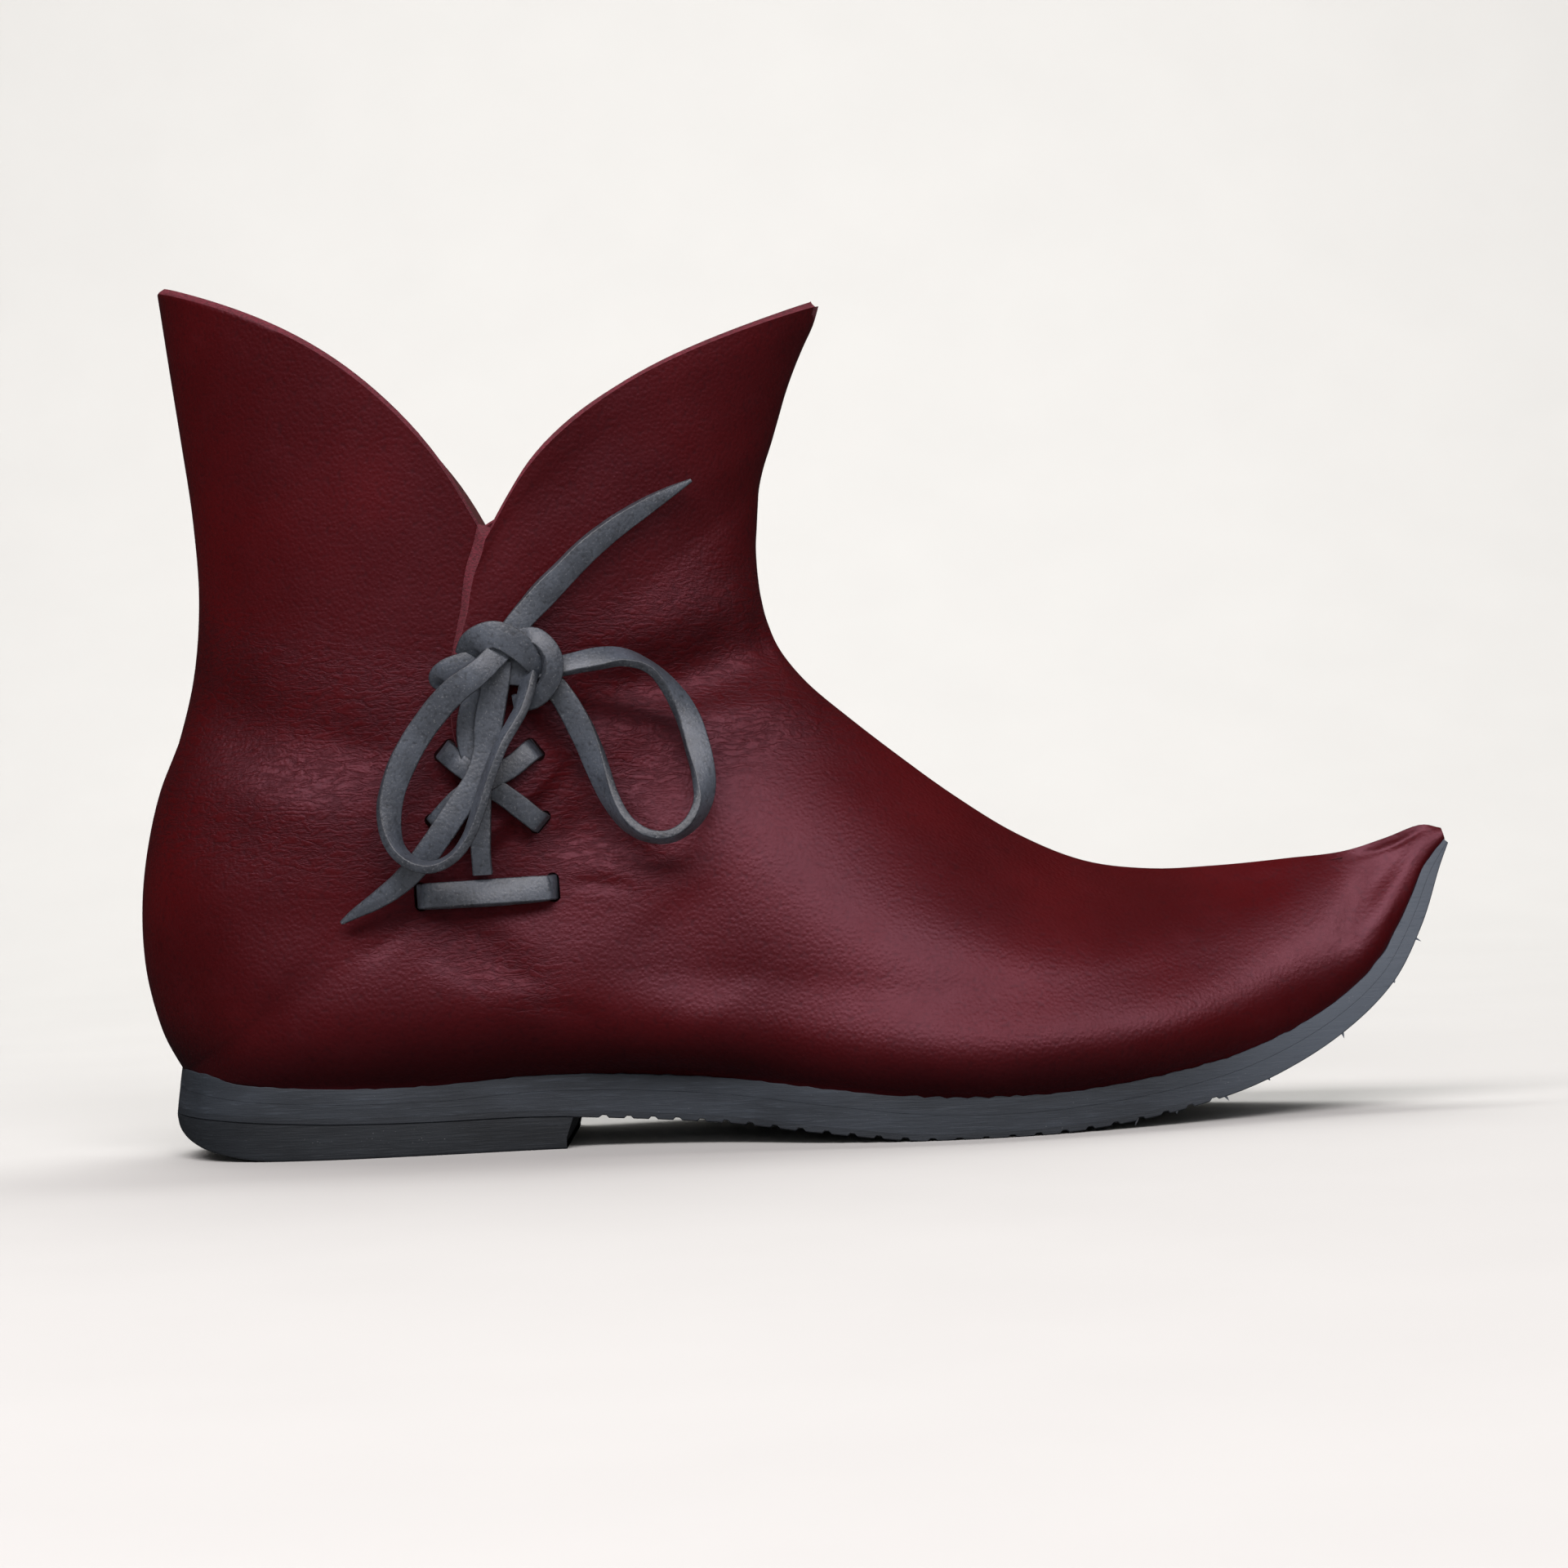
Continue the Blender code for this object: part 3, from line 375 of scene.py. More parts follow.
LOOP_BACK_ROWS = (
    (-62.5, 118.2, 8.8, 8, 5.0),
    (-66.2, 114.0, 11.0, 8, 5.6),
    (-70.2, 110.2, 13.0, 8, 5.8),
    (-75.4, 106.6, 12.6, 6, 6.2),
    (-80.6, 101.4, 11.2, 6, 6.2),
    (-85.6, 94.8, 10.0, 10, 6.2),
    (-89.4, 87.6, 9.4, 20, 6.0),
    (-91.4, 80.4, 9.4, 35, 5.8),
    (-90.8, 73.0, 10.0, 60, 5.6),
    (-87.4, 68.4, 11.0, 75, 5.4),
    (-82.4, 66.8, 12.2, 80, 5.4),
    (-77.4, 68.6, 12.8, 80, 5.4),
    (-73.6, 73.0, 13.2, 75, 5.4),
    (-71.0, 79.2, 13.4, 70, 5.4),
    (-68.4, 86.6, 13.4, 70, 5.4),
    (-65.4, 93.6, 13.6, 70, 5.0),
    (-62.2, 99.0, 12.8, 65, 4.6),
    (-60.6, 102.0, 11.8, 62, 4.4),
    (-59.4, 106.0, 10.2, 55, 4.6),
    (-58.6, 110.0, 8.6, 45, 4.6),
)
LOOP_FRONT_ROWS = (
    (-58.0, 110.4, 7.6, 15, 4.6),
    (-50.4, 111.6, 8.8, 30, 4.8),
    (-43.4, 112.8, 9.4, 35, 5.4),
    (-37.2, 113.0, 10.0, 60, 5.8),
    (-31.2, 110.4, 10.6, 78, 5.8),
    (-26.4, 105.0, 10.6, 60, 5.8),
    (-23.0, 98.6, 10.0, 35, 5.8),
    (-21.0, 91.6, 9.4, 25, 5.8),
    (-19.8, 84.6, 9.0, 40, 5.8),
    (-20.4, 78.6, 9.0, 60, 5.8),
    (-23.4, 74.0, 9.0, 72, 5.6),
    (-28.2, 71.4, 9.0, 76, 5.6),
    (-33.4, 72.0, 9.0, 74, 5.6),
    (-38.0, 75.2, 8.8, 66, 5.6),
    (-41.4, 80.6, 8.4, 55, 5.6),
    (-43.8, 86.8, 8.0, 40, 5.8),
    (-46.0, 93.2, 7.8, 20, 5.8),
    (-48.6, 99.2, 7.8, 5, 5.8),
    (-51.4, 104.4, 7.8, 0, 5.4),
    (-54.6, 109.0, 7.2, 0, 5.0),
    (-58.4, 112.0, 6.6, 0, 4.8),
)
END_UPPER_ROWS = (
    (-64.6, 117.0, 6.8, 0, 5.4),
    (-60.2, 122.4, 6.4, -10, 5.6),
    (-55.4, 127.6, 5.6, -24, 6.2),
    (-50.0, 132.9, 5.2, -26, 6.0),
    (-44.4, 138.2, 5.0, -26, 5.8),
    (-38.0, 143.2, 4.6, -26, 5.2),
    (-31.6, 147.4, 4.2, -24, 4.2),
    (-25.6, 151.0, 3.8, -18, 2.6),
    (-20.5, 153.8, 3.4, -10, 0.9),
)
END_LOWER_ROWS = (
    (-65.0, 113.2, 8.4, 0, 5.6),
    (-66.6, 106.7, 8.6, 0, 6.4),
    (-68.2, 99.4, 8.2, 0, 6.6),
    (-69.0, 92.6, 7.9, 0, 6.2),
    (-71.4, 86.4, 7.9, 0, 5.8),
    (-75.6, 80.4, 7.6, 0, 5.8),
    (-79.8, 74.6, 7.4, 5, 5.8),
    (-84.2, 69.0, 6.6, 10, 5.6),
    (-89.4, 63.8, 5.6, 10, 5.0),
    (-95.2, 59.8, 4.6, 10, 4.0),
    (-100.4, 57.0, 3.8, 10, 2.4),
    (-103.9, 54.9, 3.2, 10, 0.9),
)
LACE_STEPS = 8
# Radius of the strip's edges, and the most that it takes of half the width or the thickness
LACE_EDGE_RADIUS = 0.3
LACE_EDGE_SHARE = 0.6
# At its points the strip is no thicker than so many times its width
LACE_TIP_SHARE = 2.2
# Its width wavers by such a share, over stretches of such a length
LACE_WIDTH_CHANGE = 0.04
LACE_WIDTH_PATCH = 5.0
# Where a strip dives into its slot, its side comes from the direction of the whole strip
SIDE_LIMIT = 0.35
# Material of each side of a strip's section: 0 for the two faces and 1 for the cut edges
STRIP_SLOTS = (1, 1, 0, 1, 1, 1, 1, 1, 0, 1, 1, 1)
# A laced end turns down into its slot: distance past its last row and fall below it
DIVE = ((-1.3, 0.2), (-0.4, 1.5), (0.0, 4.0), (0.1, 6.5))
# Its slot: distance past the last row, spare length beyond the strip's width, and depth of the cut
SLOT_AWAY = 0.0
SLOT_SPARE = 1.2
SLOT_DEPTH = 7.0
SLOT_SIDES = 16

# Edges that turn by more than so many degrees stay sharp
SHARP_ANGLE = 38.0
UPPER_SHARP_ANGLE = 42.0
LACE_SHARP_ANGLE = 50.0

# Leather's height over the middle plane is read off a grid of points
FIRST_HEIGHT_ROW = 8
ROW_PARTS = 2
HEIGHT_SHARES = np.linspace(0.04, 0.98, 48)
NEAR_POINTS = 5
NEAR_SPREAD = 0.3
# Halvings of a range in a search
BISECTIONS = 40

# Camera: in front of the laced side at the height of the ankle, rolled as in the photograph
CAMERA_PLACE = (-1.45, -900.265, 82.3)
CAMERA_ROLL = 2.4
CAMERA_VIEW_WIDTH = 374.4
SENSOR_WIDTH = 36.0

# Tint of a plain gloss and of the leather's
WHITE = (1.0, 1.0, 1.0, 1.0)
LEATHER_SHEEN = (1.0, 0.46, 0.60, 1.0)

# Studio in metres: the floor runs from front to back, curves up and ends at the top
FLOOR_FRONT_Y = -2.4
FLOOR_BACK_Y = 0.7
FLOOR_HALF_WIDTH = 3.0
BACKDROP_RADIUS = 0.8
BACKDROP_STEPS = 16
BACKDROP_TOP = 3.0
# Each light names its power among the settings of the stage, and the rays that don't see it
LIGHT_COLUMNS = ("name", "place", "target", "size", "power", "colour", "unseen")
LIGHT_ROWS = (
    ("key_light", (-0.20, -0.85, 1.00), (0.0, 0.0, 0.07), (1.5, 0.5), "key_power",
     (1.0, 0.96, 0.98), ""),
    ("fill_light", (0.1, -1.4, 0.35), (0.0, 0.0, 0.08), (1.0, 0.5), "fill_power",
     (1.0, 1.0, 1.0), "visible_glossy"),
    ("top_light", (0.0, 0.9, 1.7), (0.0, 0.3, 0.0), (2.0, 1.2), "top_power",
     (1.0, 1.0, 1.0), "visible_glossy"),
    ("backdrop_light", (0.0, 0.45, 1.6), (0.0, 1.5, 0.5), (2.4, 0.6), "backdrop_power",
     (1.0, 1.0, 1.0), "visible_glossy"),
    ("toe_light", (0.95, -0.80, 0.95), (0.05, 0.0, 0.05), (0.7, 0.5), "toe_power",
     (1.0, 0.96, 0.98), "visible_diffuse"),
)
SKY_COLOUR = (0.92, 0.95, 1.0, 1.0)


def table_columns(names, rows):
    """Turn a table into one list of numbers for each named column."""
    return {name: [row[index] for row in rows] for index, name in enumerate(names)}


FOOT = table_columns(FOOT_COLUMNS, FOOT_ROWS)
SHAFT = table_columns(SHAFT_COLUMNS, SHAFT_ROWS)
CREASES = [dict(zip(CREASE_COLUMNS, row)) for row in CREASE_ROWS]
LIGHTS = [dict(zip(LIGHT_COLUMNS, row)) for row in LIGHT_ROWS]


def spline(values, position, after=None):
    """Read a smooth curve through values that stand at whole positions."""
    last = len(values) - 1
    index = min(int(position), last - 1)
    part = position - index
    here = values[index]
    there = values[index + 1]
    before = values[index - 1] if index > 0 else 2 * here - there
    if index + 2 <= last:
        beyond = values[index + 2]
    else:
        beyond = after if after is not None else 2 * there - here
    return 0.5 * (2 * here + (there - before) * part
                  + (2 * before - 5 * here + 4 * there - beyond) * part ** 2
                  + (3 * here - before - 3 * there + beyond) * part ** 3)


def smooth(value):
    """Ease from 0 to 1."""
    value = min(1.0, max(0.0, value))
    return value * value * (3 - 2 * value)


@functools.lru_cache(maxsize=None)
def base_path(position):
    """Edge of the upper on the sole: x, z and the half widths towards -Y and +Y."""
    if position <= HEEL_ROW:
        turned = {"base_x": 1, "base_z": 1, "base_inner": -1, "base_outer": -1}
        return [spline(FOOT[name], position, sign * FOOT[name][-2]) for name, sign in turned.items()]
    along = position - HEEL_ROW + 1
    ends = []
    for name in ("base_x", "base_z"):
        ends.append(spline([SHAFT[name][0], FOOT[name][-1]] + SHAFT[name], along))
    return ends + [0.0, 0.0]


def arc(share, ridge_power, base_power):
    """Half width of a closed arc, 1 at its widest."""
    widest = ridge_power / (ridge_power + base_power)
    return (share / widest) ** ridge_power * ((1 - share) / (1 - widest)) ** base_power


def bisect(low, high, falls_short):
    """Narrow a range down to the place at which a test stops being true."""
    for _ in range(BISECTIONS):
        middle = 0.5 * (low + high)
        if falls_short(middle):
            low = middle
        else:
            high = middle
    return high


def arc_end(ratio, ridge_power, base_power):
    """Share of the arc at which it has come back to a given part of its full width."""
    widest = ridge_power / (ridge_power + base_power)
    return bisect(widest, 1.0, lambda share: arc(share, ridge_power, base_power) > ratio)


@functools.lru_cache(maxsize=None)
def section(position, side):
    """All sizes of one half of the section at a position between two rows."""
    whole = {}
    for name in ("ridge_x", "ridge_z", "ridge_power", "base_power", "sag", "slit"):
        whole[name] = spline(FOOT[name] + SHAFT[name], position)
    half = "inner" if side < 0 else "outer"
    whole["full"] = spline(FOOT["full_" + half] + SHAFT["full"], position)
    whole["notch"] = max(0.0, spline([0.0] * len(FOOT_ROWS) + SHAFT["notch"], position))
    whole["base_x"], whole["base_z"], inner, outer = base_path(position)
    base = max(0.0, inner if side < 0 else outer)
    whole["end"] = arc_end(base / whole["full"], whole["ridge_power"], whole["base_power"])
    return whole


def notch_fall(share):
    """Fall of the V in the collar, about 1 at its point."""
    point = V_POINT * math.exp(-((share - 0.5) / V_POINT_REACH) ** 2)
    if share <= 0.5:
        way = 2 * share
        straight, power = FRONT_ARC
    else:
        way = 2 * (1 - share)
        straight, power = BACK_ARC
    return straight * way + (1 - straight) * way ** power + point


def bulge_over(height, full_height):
    """Low bulge that is 1 at a third of its height and 0 at both ends."""
    rise = min(1.0, max(0.0, height / full_height))
    return 27 / 4 * rise * (1 - rise) ** 2


def swell(x, z):
    """Extra half width: the lower body bulges out over the sole and the ankle is drawn in."""
    fade = smooth((x - SWELL_BACK_X) / SWELL_BACK_FADE)
    fade *= smooth((SWELL_FRONT_X - x) / SWELL_FRONT_FADE)
    waist = WAIST_DEPTH * math.exp(-((z - WAIST_MIDDLE) / WAIST_REACH) ** 2)
    body = SWELL_WIDTH * bulge_over(z - SWELL_FOOT, SWELL_HEIGHT)
    ball_fade = smooth((x - BALL_SWELL_BACK_X) / BALL_SWELL_FADE)
    ball_fade *= smooth((BALL_SWELL_FRONT_X - x) / BALL_SWELL_FADE)
    over_sole = z - np.interp(x, *SOLE_TOP) - BALL_SWELL_FOOT
    ball = BALL_SWELL_WIDTH * bulge_over(over_sole, BALL_SWELL_HEIGHT)
    return fade * (body - waist) + ball_fade * ball


def upper_point(position, share, side):
    """Outer face of the upper. Side is -1 for the laced half and 1 for the plain half."""
    sizes = section(position, side)
    chord = share + (sizes["slit"] - 0.5) * 4 * share * (1 - share)
    x = sizes["ridge_x"] + (sizes["base_x"] - sizes["ridge_x"]) * chord
    z = sizes["ridge_z"] + (sizes["base_z"] - sizes["ridge_z"]) * chord
    z -= sizes["notch"] * notch_fall(share) + sizes["sag"] * math.sin(math.pi * share)
    if side > 0 and position > FAR_FALL_ROW:
        behind = smooth((share - FAR_FALL_START) / FAR_FALL_RAMP)
        behind *= smooth((1 - share) / FAR_FALL_END_RAMP)
        z -= FAR_FALL * behind * (position - FAR_FALL_ROW) / (COLLAR_ROW - FAR_FALL_ROW)
    bulge = arc(min(1.0, chord * sizes["end"]), sizes["ridge_power"], sizes["base_power"])
    y = side * (sizes["full"] * bulge + swell(x, z) * (share < 1.0))
    if share == 0.0 or (share == 1.0 and position >= HEEL_ROW):
        y = 0.0
    return Vector((x, y, z))


def section_span(position):
    """Length of the section's chord from the ridge to the base."""
    sizes = section(position, -1)
    return math.hypot(sizes["ridge_x"] - sizes["base_x"], sizes["ridge_z"] - sizes["base_z"])


def slit_state(position):
    """How far the slit is open and how far the flaps are lapped, both from 0 to 1."""
    if position <= HEEL_ROW:
        opened = max(0.0, position - SLIT_ROW) * SLIT_OPEN_STEPS
    else:
        opened = SLIT_OPEN_STEPS + position - HEEL_ROW
    return smooth(opened / SLIT_OPEN_STEPS), smooth(opened / SLIT_OPEN_STEPS - 1)


def flap_point(position, share, flap, at_slit, slant=0.0):
    """Laced half of the upper, with the front flap raised over the back flap."""
    lifted, lapped = slit_state(position)
    if at_slit and position > SLIT_ROW:
        gap = 0.5 * SLIT_GAP * (1 - lapped)
        if flap == "front":
            share += (FLAP_OVER * lapped - gap - slant) / section_span(position)
        else:
            share -= (FLAP_UNDER * lapped - gap) / section_span(position)
    point = upper_point(position, share, -1)
    if flap == "front":
        rise = smooth((share - FLAP_RISE_FROM) / (FLAP_RISE_TO - FLAP_RISE_FROM))
        point.y -= FLAP_LIFT * lifted * rise
    return point


def sole_frame(position):
    """Unit normal of the sole's top in the side view, pointing up into the shoe."""
    reach = 0.05
    low = max(0.0, min(position, HEEL_ROW - SOLE_TURN_ROWS) - reach)
    first = base_path(low)
    second = base_path(low + 2 * reach)
    along = Vector((second[0] - first[0], 0.0, second[1] - first[1])).normalized()
    return Vector((along.z, 0.0, -along.x))


def sole_edge(position, side, inset):
    """Point of the sole's top outline, moved inwards by inset in the plane of the sole."""
    reach = 0.02
    ends = []
    for place in (max(0.0, position - reach), min(float(HEEL_ROW), position + reach)):
        x, z, inner, outer = base_path(place)
        ends.append(Vector((x, -inner if side < 0 else outer, z)))
    x, z, inner, outer = base_path(position)
    point = Vector((x, -inner if side < 0 else outer, z))
    along = ends[1] - ends[0]
    if position >= HEEL_ROW:
        along = Vector((0.0, -side, 0.0))
    inward = sole_frame(position).cross(along).normalized() * side
    point += inward * inset
    if position >= HEEL_ROW:
        point.y = 0.0
    return point


def position_at(x):
    """Position along the rows at which the edge of the sole reaches x."""
    return bisect(0.0, float(HEEL_ROW), lambda position: base_path(position)[0] > x)


def sole_top_heights():
    """Edge of the sole in the side view, as rising x and the height at each."""
    places = [base_path(step * 0.1) for step in range(HEEL_ROW * 10, -1, -1)]
    return np.array([place[0] for place in places]), np.array([place[1] for place in places])


SOLE_TOP = sole_top_heights()


def crease_depths(x, z, side):
    """Depth of the creases at arrays of places in the side view, and how creased each is."""
    depth = np.zeros_like(x)
    amount = np.zeros_like(x)
    for crease in CREASES:
        start = np.array((crease["from_x"], crease["from_z"]))
        run = np.array((crease["to_x"], crease["to_z"])) - start
        length = float(np.hypot(*run))
        along = run / length
        across = np.array((-along[1], along[0]))
        way = np.clip(((x - start[0]) * along[0] + (z - start[1]) * along[1]) / length, 0, 1)
        hump = 4 * way * (1 - way)
        middle_x = start[0] + run[0] * way + across[0] * crease["bow"] * hump
        middle_z = start[1] + run[1] * way + across[1] * crease["bow"] * hump
        distance = np.hypot(x - middle_x, z - middle_z) / crease["width"]
        evenness = CREASE_END_SHARE + (1 - CREASE_END_SHARE) * np.sqrt(hump)
        strength = np.exp(-distance ** 2) * evenness
        if crease["side"]:
            strength = strength * (side == crease["side"])
        depth += crease["depth"] * strength
        wrinkled = np.exp(-(distance * WRINKLE_REACH) ** 2) * (crease["side"] != 0)
        amount += abs(crease["depth"]) * wrinkled
    return depth, np.clip(amount, 0, 1)


class Value:
    """A socket of a material. Sums and products of it add the Math nodes they need."""

    def __init__(self, recipe, socket):
        self.recipe = recipe
        self.socket = socket

    def math(self, operation, first, second):
        """Add a Math node for two values."""
        return self.recipe.node("ShaderNodeMath", {"operation": operation}, {0: first, 1: second})

    def __add__(self, other):
        return self.math("ADD", self, other)

    __radd__ = __add__

    def __sub__(self, other):
        return self.math("SUBTRACT", self, other)

    def __rsub__(self, other):
        return self.math("SUBTRACT", other, self)

    def __mul__(self, other):
        return self.math("MULTIPLY", self, other)

    __rmul__ = __mul__

    def __pow__(self, other):
        return self.math("POWER", self, other)

    def __abs__(self):
        return self.math("ABSOLUTE", self, 0.0)

    def between(self, low, high):
        """0 below low, 1 above high and eased between them."""
        settings = {"interpolation_type": "SMOOTHSTEP"}
        inputs = {"Value": self, "From Min": low, "From Max": high}
        return self.recipe.node("ShaderNodeMapRange", settings, inputs)


class Recipe:
    """One material and the nodes that make it."""

    def __init__(self, name, roughness, gloss=0.5, tint=WHITE):
        self.material = bpy.data.materials.new(name)
        self.material.use_nodes = True
        self.tree = self.material.node_tree
        self.shader = self.tree.nodes["Principled BSDF"]
        self.shader.inputs["Roughness"].default_value = roughness
        self.shader.inputs["Specular IOR Level"].default_value = gloss
        self.shader.inputs["Specular Tint"].default_value = tint
        coordinates = self.node("ShaderNodeTexCoord", {}, {}, "Object")
        self.place = self.node("ShaderNodeVectorMath", {"operation": "SCALE"},
                               {0: coordinates, "Scale": 1 / MM})

    def node(self, kind, settings, inputs, output=0):
        """Add a node, set it up, fill or link its sockets, and give one of its outputs."""
        made = self.tree.nodes.new(kind)
        for name, value in settings.items():
            setattr(made, name, value)
        for place, value in inputs.items():
            if isinstance(value, Value):
                self.tree.links.new(value.socket, made.inputs[place])
            else:
                made.inputs[place].default_value = value
        return Value(self, made.outputs[output])

    def stretched(self, size):
        """Coordinates in units of the given size along x, y and z, in millimetres."""
        shares = tuple(1 / length for length in size)
        return self.node("ShaderNodeVectorMath", {"operation": "MULTIPLY"}, {0: self.place, 1: shares})

    def cloud(self, size, detail=3.0, roughness=0.5, distortion=0.0):
        """Soft noise from 0 to 1 whose patches are about as large as size."""
        place = self.stretched(size)
        inputs = {"Vector": place, "Scale": 1.0, "Detail": detail, "Roughness": roughness,
                  "Distortion": distortion}
        return self.node("ShaderNodeTexNoise", {}, inputs)

    def towards_toe(self, first, last):
        """0 behind a place along the shoe, 1 in front of another and eased between them."""
        return self.node("ShaderNodeSeparateXYZ", {}, {0: self.place}).between(first, last)

    def cells(self, size, feature="SMOOTH_F1"):
        """Distance from the middle of the nearest pebble."""
        inputs = {"Vector": self.stretched(size), "Scale": 1.0}
        return self.node("ShaderNodeTexVoronoi", {"feature": feature}, inputs)

    def attribute(self, name):
        """Number kept at each point of the mesh."""
        return self.node("ShaderNodeAttribute", {"attribute_name": name}, {}, "Fac")

    def blend(self, share, first, second):
        """Mix two colours."""
        return self.node("ShaderNodeMix", {"data_type": "RGBA"}, {0: share, 6: first, 7: second}, 2)

    def shades(self, share, base, first, second):
        """Mix two shades of one stored colour."""
        return self.blend(share, with_alpha(base, first), with_alpha(base, second))

    def finish(self, colour, roughness, height):
        """Wire the colour, the roughness and a height in millimetres to the shader."""
        bump = self.node("ShaderNodeBump", {}, {"Strength": 1.0, "Distance": MM, "Height": height})
        links = {"Base Color": colour, "Roughness": roughness, "Normal": bump}
        for name, value in links.items():
            self.tree.links.new(value.socket, self.shader.inputs[name])
        return self.material


def with_alpha(colour, share=1.0):
    """A stored colour as four numbers, made darker or lighter by a share."""
    return tuple(share * part for part in colour) + (1.0,)


def leather_material():
    """Oxblood grain leather with fine pebbles, creases and a smoother toe, with painted shade in the
    wrinkles and along the lower edge.
    """
    colours = bpy.context.scene.shoe_colours
    sizes = bpy.context.scene.shoe_sizes
    grain = sizes.grain_size / MM
    recipe = Recipe("oxblood_leather", 0.4, 0.42, LEATHER_SHEEN)
    crease = recipe.attribute("crease")
    height = recipe.attribute("sole_height")
    patches = recipe.cloud((34, 34, 34), 2.0)
    drift = recipe.cloud((9, 9, 9), 4.0, 0.6)
    pebble = recipe.cells((grain, grain, grain))
    fine = recipe.cloud((grain * 0.45,) * 3, 2.0)
    wrinkle = 1 - abs(recipe.cloud((5.0, 4.0, 1.5), 3.0, 0.55, 0.6) * 2 - 1)
    wrinkle_share = wrinkle ** 6 * (crease * 0.9 + 0.08)
    toe = recipe.towards_toe(*SMOOTH_TOE_X)
    mottle = patches.between(0.3, 0.75)
    colour = recipe.shades(mottle, colours.leather, 0.80, 1.12)
    colour = recipe.blend(drift.between(0.55, 0.8) * 0.25, colour, with_alpha(colours.leather_light))
    colour = recipe.blend(pebble.between(0.45, 0.8) * 0.35, colour, with_alpha(colours.leather_pores_and_shade))
    # Painted shade: the troughs of the small wrinkles are darkened
    colour = recipe.blend(wrinkle_share * 0.5, colour, with_alpha(colours.leather_pores_and_shade))
    # Painted shade: over the lowest 17 mm above the sole the colour darkens, standing in for the shade
    # where the upper turns under
    low_edge_painted_shade = (1 - height.between(0.5, 17.0)) * 0.72
    colour = recipe.blend(low_edge_painted_shade, colour, with_alpha(colours.leather_pores_and_shade))
    roughness = 0.37 + drift * 0.12 + pebble * 0.06 + wrinkle_share * 0.15 - toe * 0.08
    relief = (1 - pebble) * (0.10 - toe * 0.06) + fine * 0.015 - wrinkle_share * 0.09 + drift * 0.03
    return recipe.finish(colour, roughness, relief)


def cut_edge_material():
    """Raw cut edge of the leather, lighter and fibrous."""
    colours = bpy.context.scene.shoe_colours
    recipe = Recipe("leather_cut_edge", 0.8)
    fibre = recipe.cloud((0.9, 0.9, 0.35), 4.0, 0.7)
    patches = recipe.cloud((6, 6, 6), 2.0)
    colour = recipe.shades(fibre.between(0.3, 0.7), colours.cut_edge, 0.45, 1.25)
    colour = recipe.blend(patches.between(0.4, 0.8) * 0.4, colour, with_alpha(colours.leather))
    roughness = 0.72 + fibre * 0.2
    return recipe.finish(colour, roughness, fibre * 0.22)


def flesh_material():
    """Napped flesh side inside the shoe."""
    colours = bpy.context.scene.shoe_colours
    recipe = Recipe("leather_flesh_side", 0.9)
    nap = recipe.cloud((0.7, 0.7, 1.1), 4.0, 0.7)
    patches = recipe.cloud((18, 18, 18), 3.0)
    colour = recipe.shades(patches.between(0.3, 0.7), colours.flesh, 0.7, 1.15)
    colour = recipe.blend(nap.between(0.5, 0.75) * 0.5, colour, with_alpha(colours.flesh, 1.8))
    roughness = 0.82 + nap * 0.15
    return recipe.finish(colour, roughness, nap * 0.12)


def insole_material():
    """Insole leather, rubbed darker and lighter in patches."""
    colours = bpy.context.scene.shoe_colours
    recipe = Recipe("insole_leather_face", 0.7)
    grain = recipe.cells((0.8, 0.8, 0.8))
    patches = recipe.cloud((26, 20, 20), 3.0)
    colour = recipe.shades(patches.between(0.35, 0.7), colours.flesh, 0.8, 1.5)
    colour = recipe.blend(grain.between(0.4, 0.8) * 0.4, colour, with_alpha(colours.flesh, 0.5))
    roughness = 0.62 + patches * 0.2
    return recipe.finish(colour, roughness, (1 - grain) * 0.04 + patches * 0.1)


def sole_material(name, colour_name, share):
    """Slate rubber with brush marks along the side, fine scuffs, pale specks and a paler toe."""
    colours = bpy.context.scene.shoe_colours
    base = getattr(colours, colour_name)
    recipe = Recipe(name, 0.6)
    streak = recipe.cloud((9.0, 6.0, 0.5), 4.0, 0.65, 0.3)
    brush = recipe.cloud((2.4, 2.4, 7.0), 3.0, 0.6)
    patches = recipe.cloud((22, 22, 8), 3.0)
    speck = recipe.cells((1.3, 1.3, 0.8), "F1")
    speck_share = (1 - speck.between(0.05, 0.14)) * patches.between(0.56, 0.66)
    scuff = recipe.cloud((9.0, 5.0, 0.5), 5.0, 0.75).between(0.60, 0.72)
    toe = recipe.towards_toe(*PALE_SOLE_X)
    colour = recipe.shades(patches.between(0.3, 0.7), base, 0.78 * share, 1.2 * share)
    colour = recipe.blend(toe, colour, with_alpha(base, 2.6))
    colour = recipe.blend(streak.between(0.5, 0.72) * 0.45, colour, with_alpha(base, 2.2 * share))
    colour = recipe.blend(scuff * 0.5, colour, with_alpha(base, 2.8 * share))
    colour = recipe.blend(speck_share * 0.4, colour, with_alpha(colours.speck))
    roughness = 0.52 + streak * 0.18 + scuff * 0.1
    relief = streak * 0.09 + brush * 0.06 - scuff * 0.04
    return recipe.finish(colour, roughness, relief)


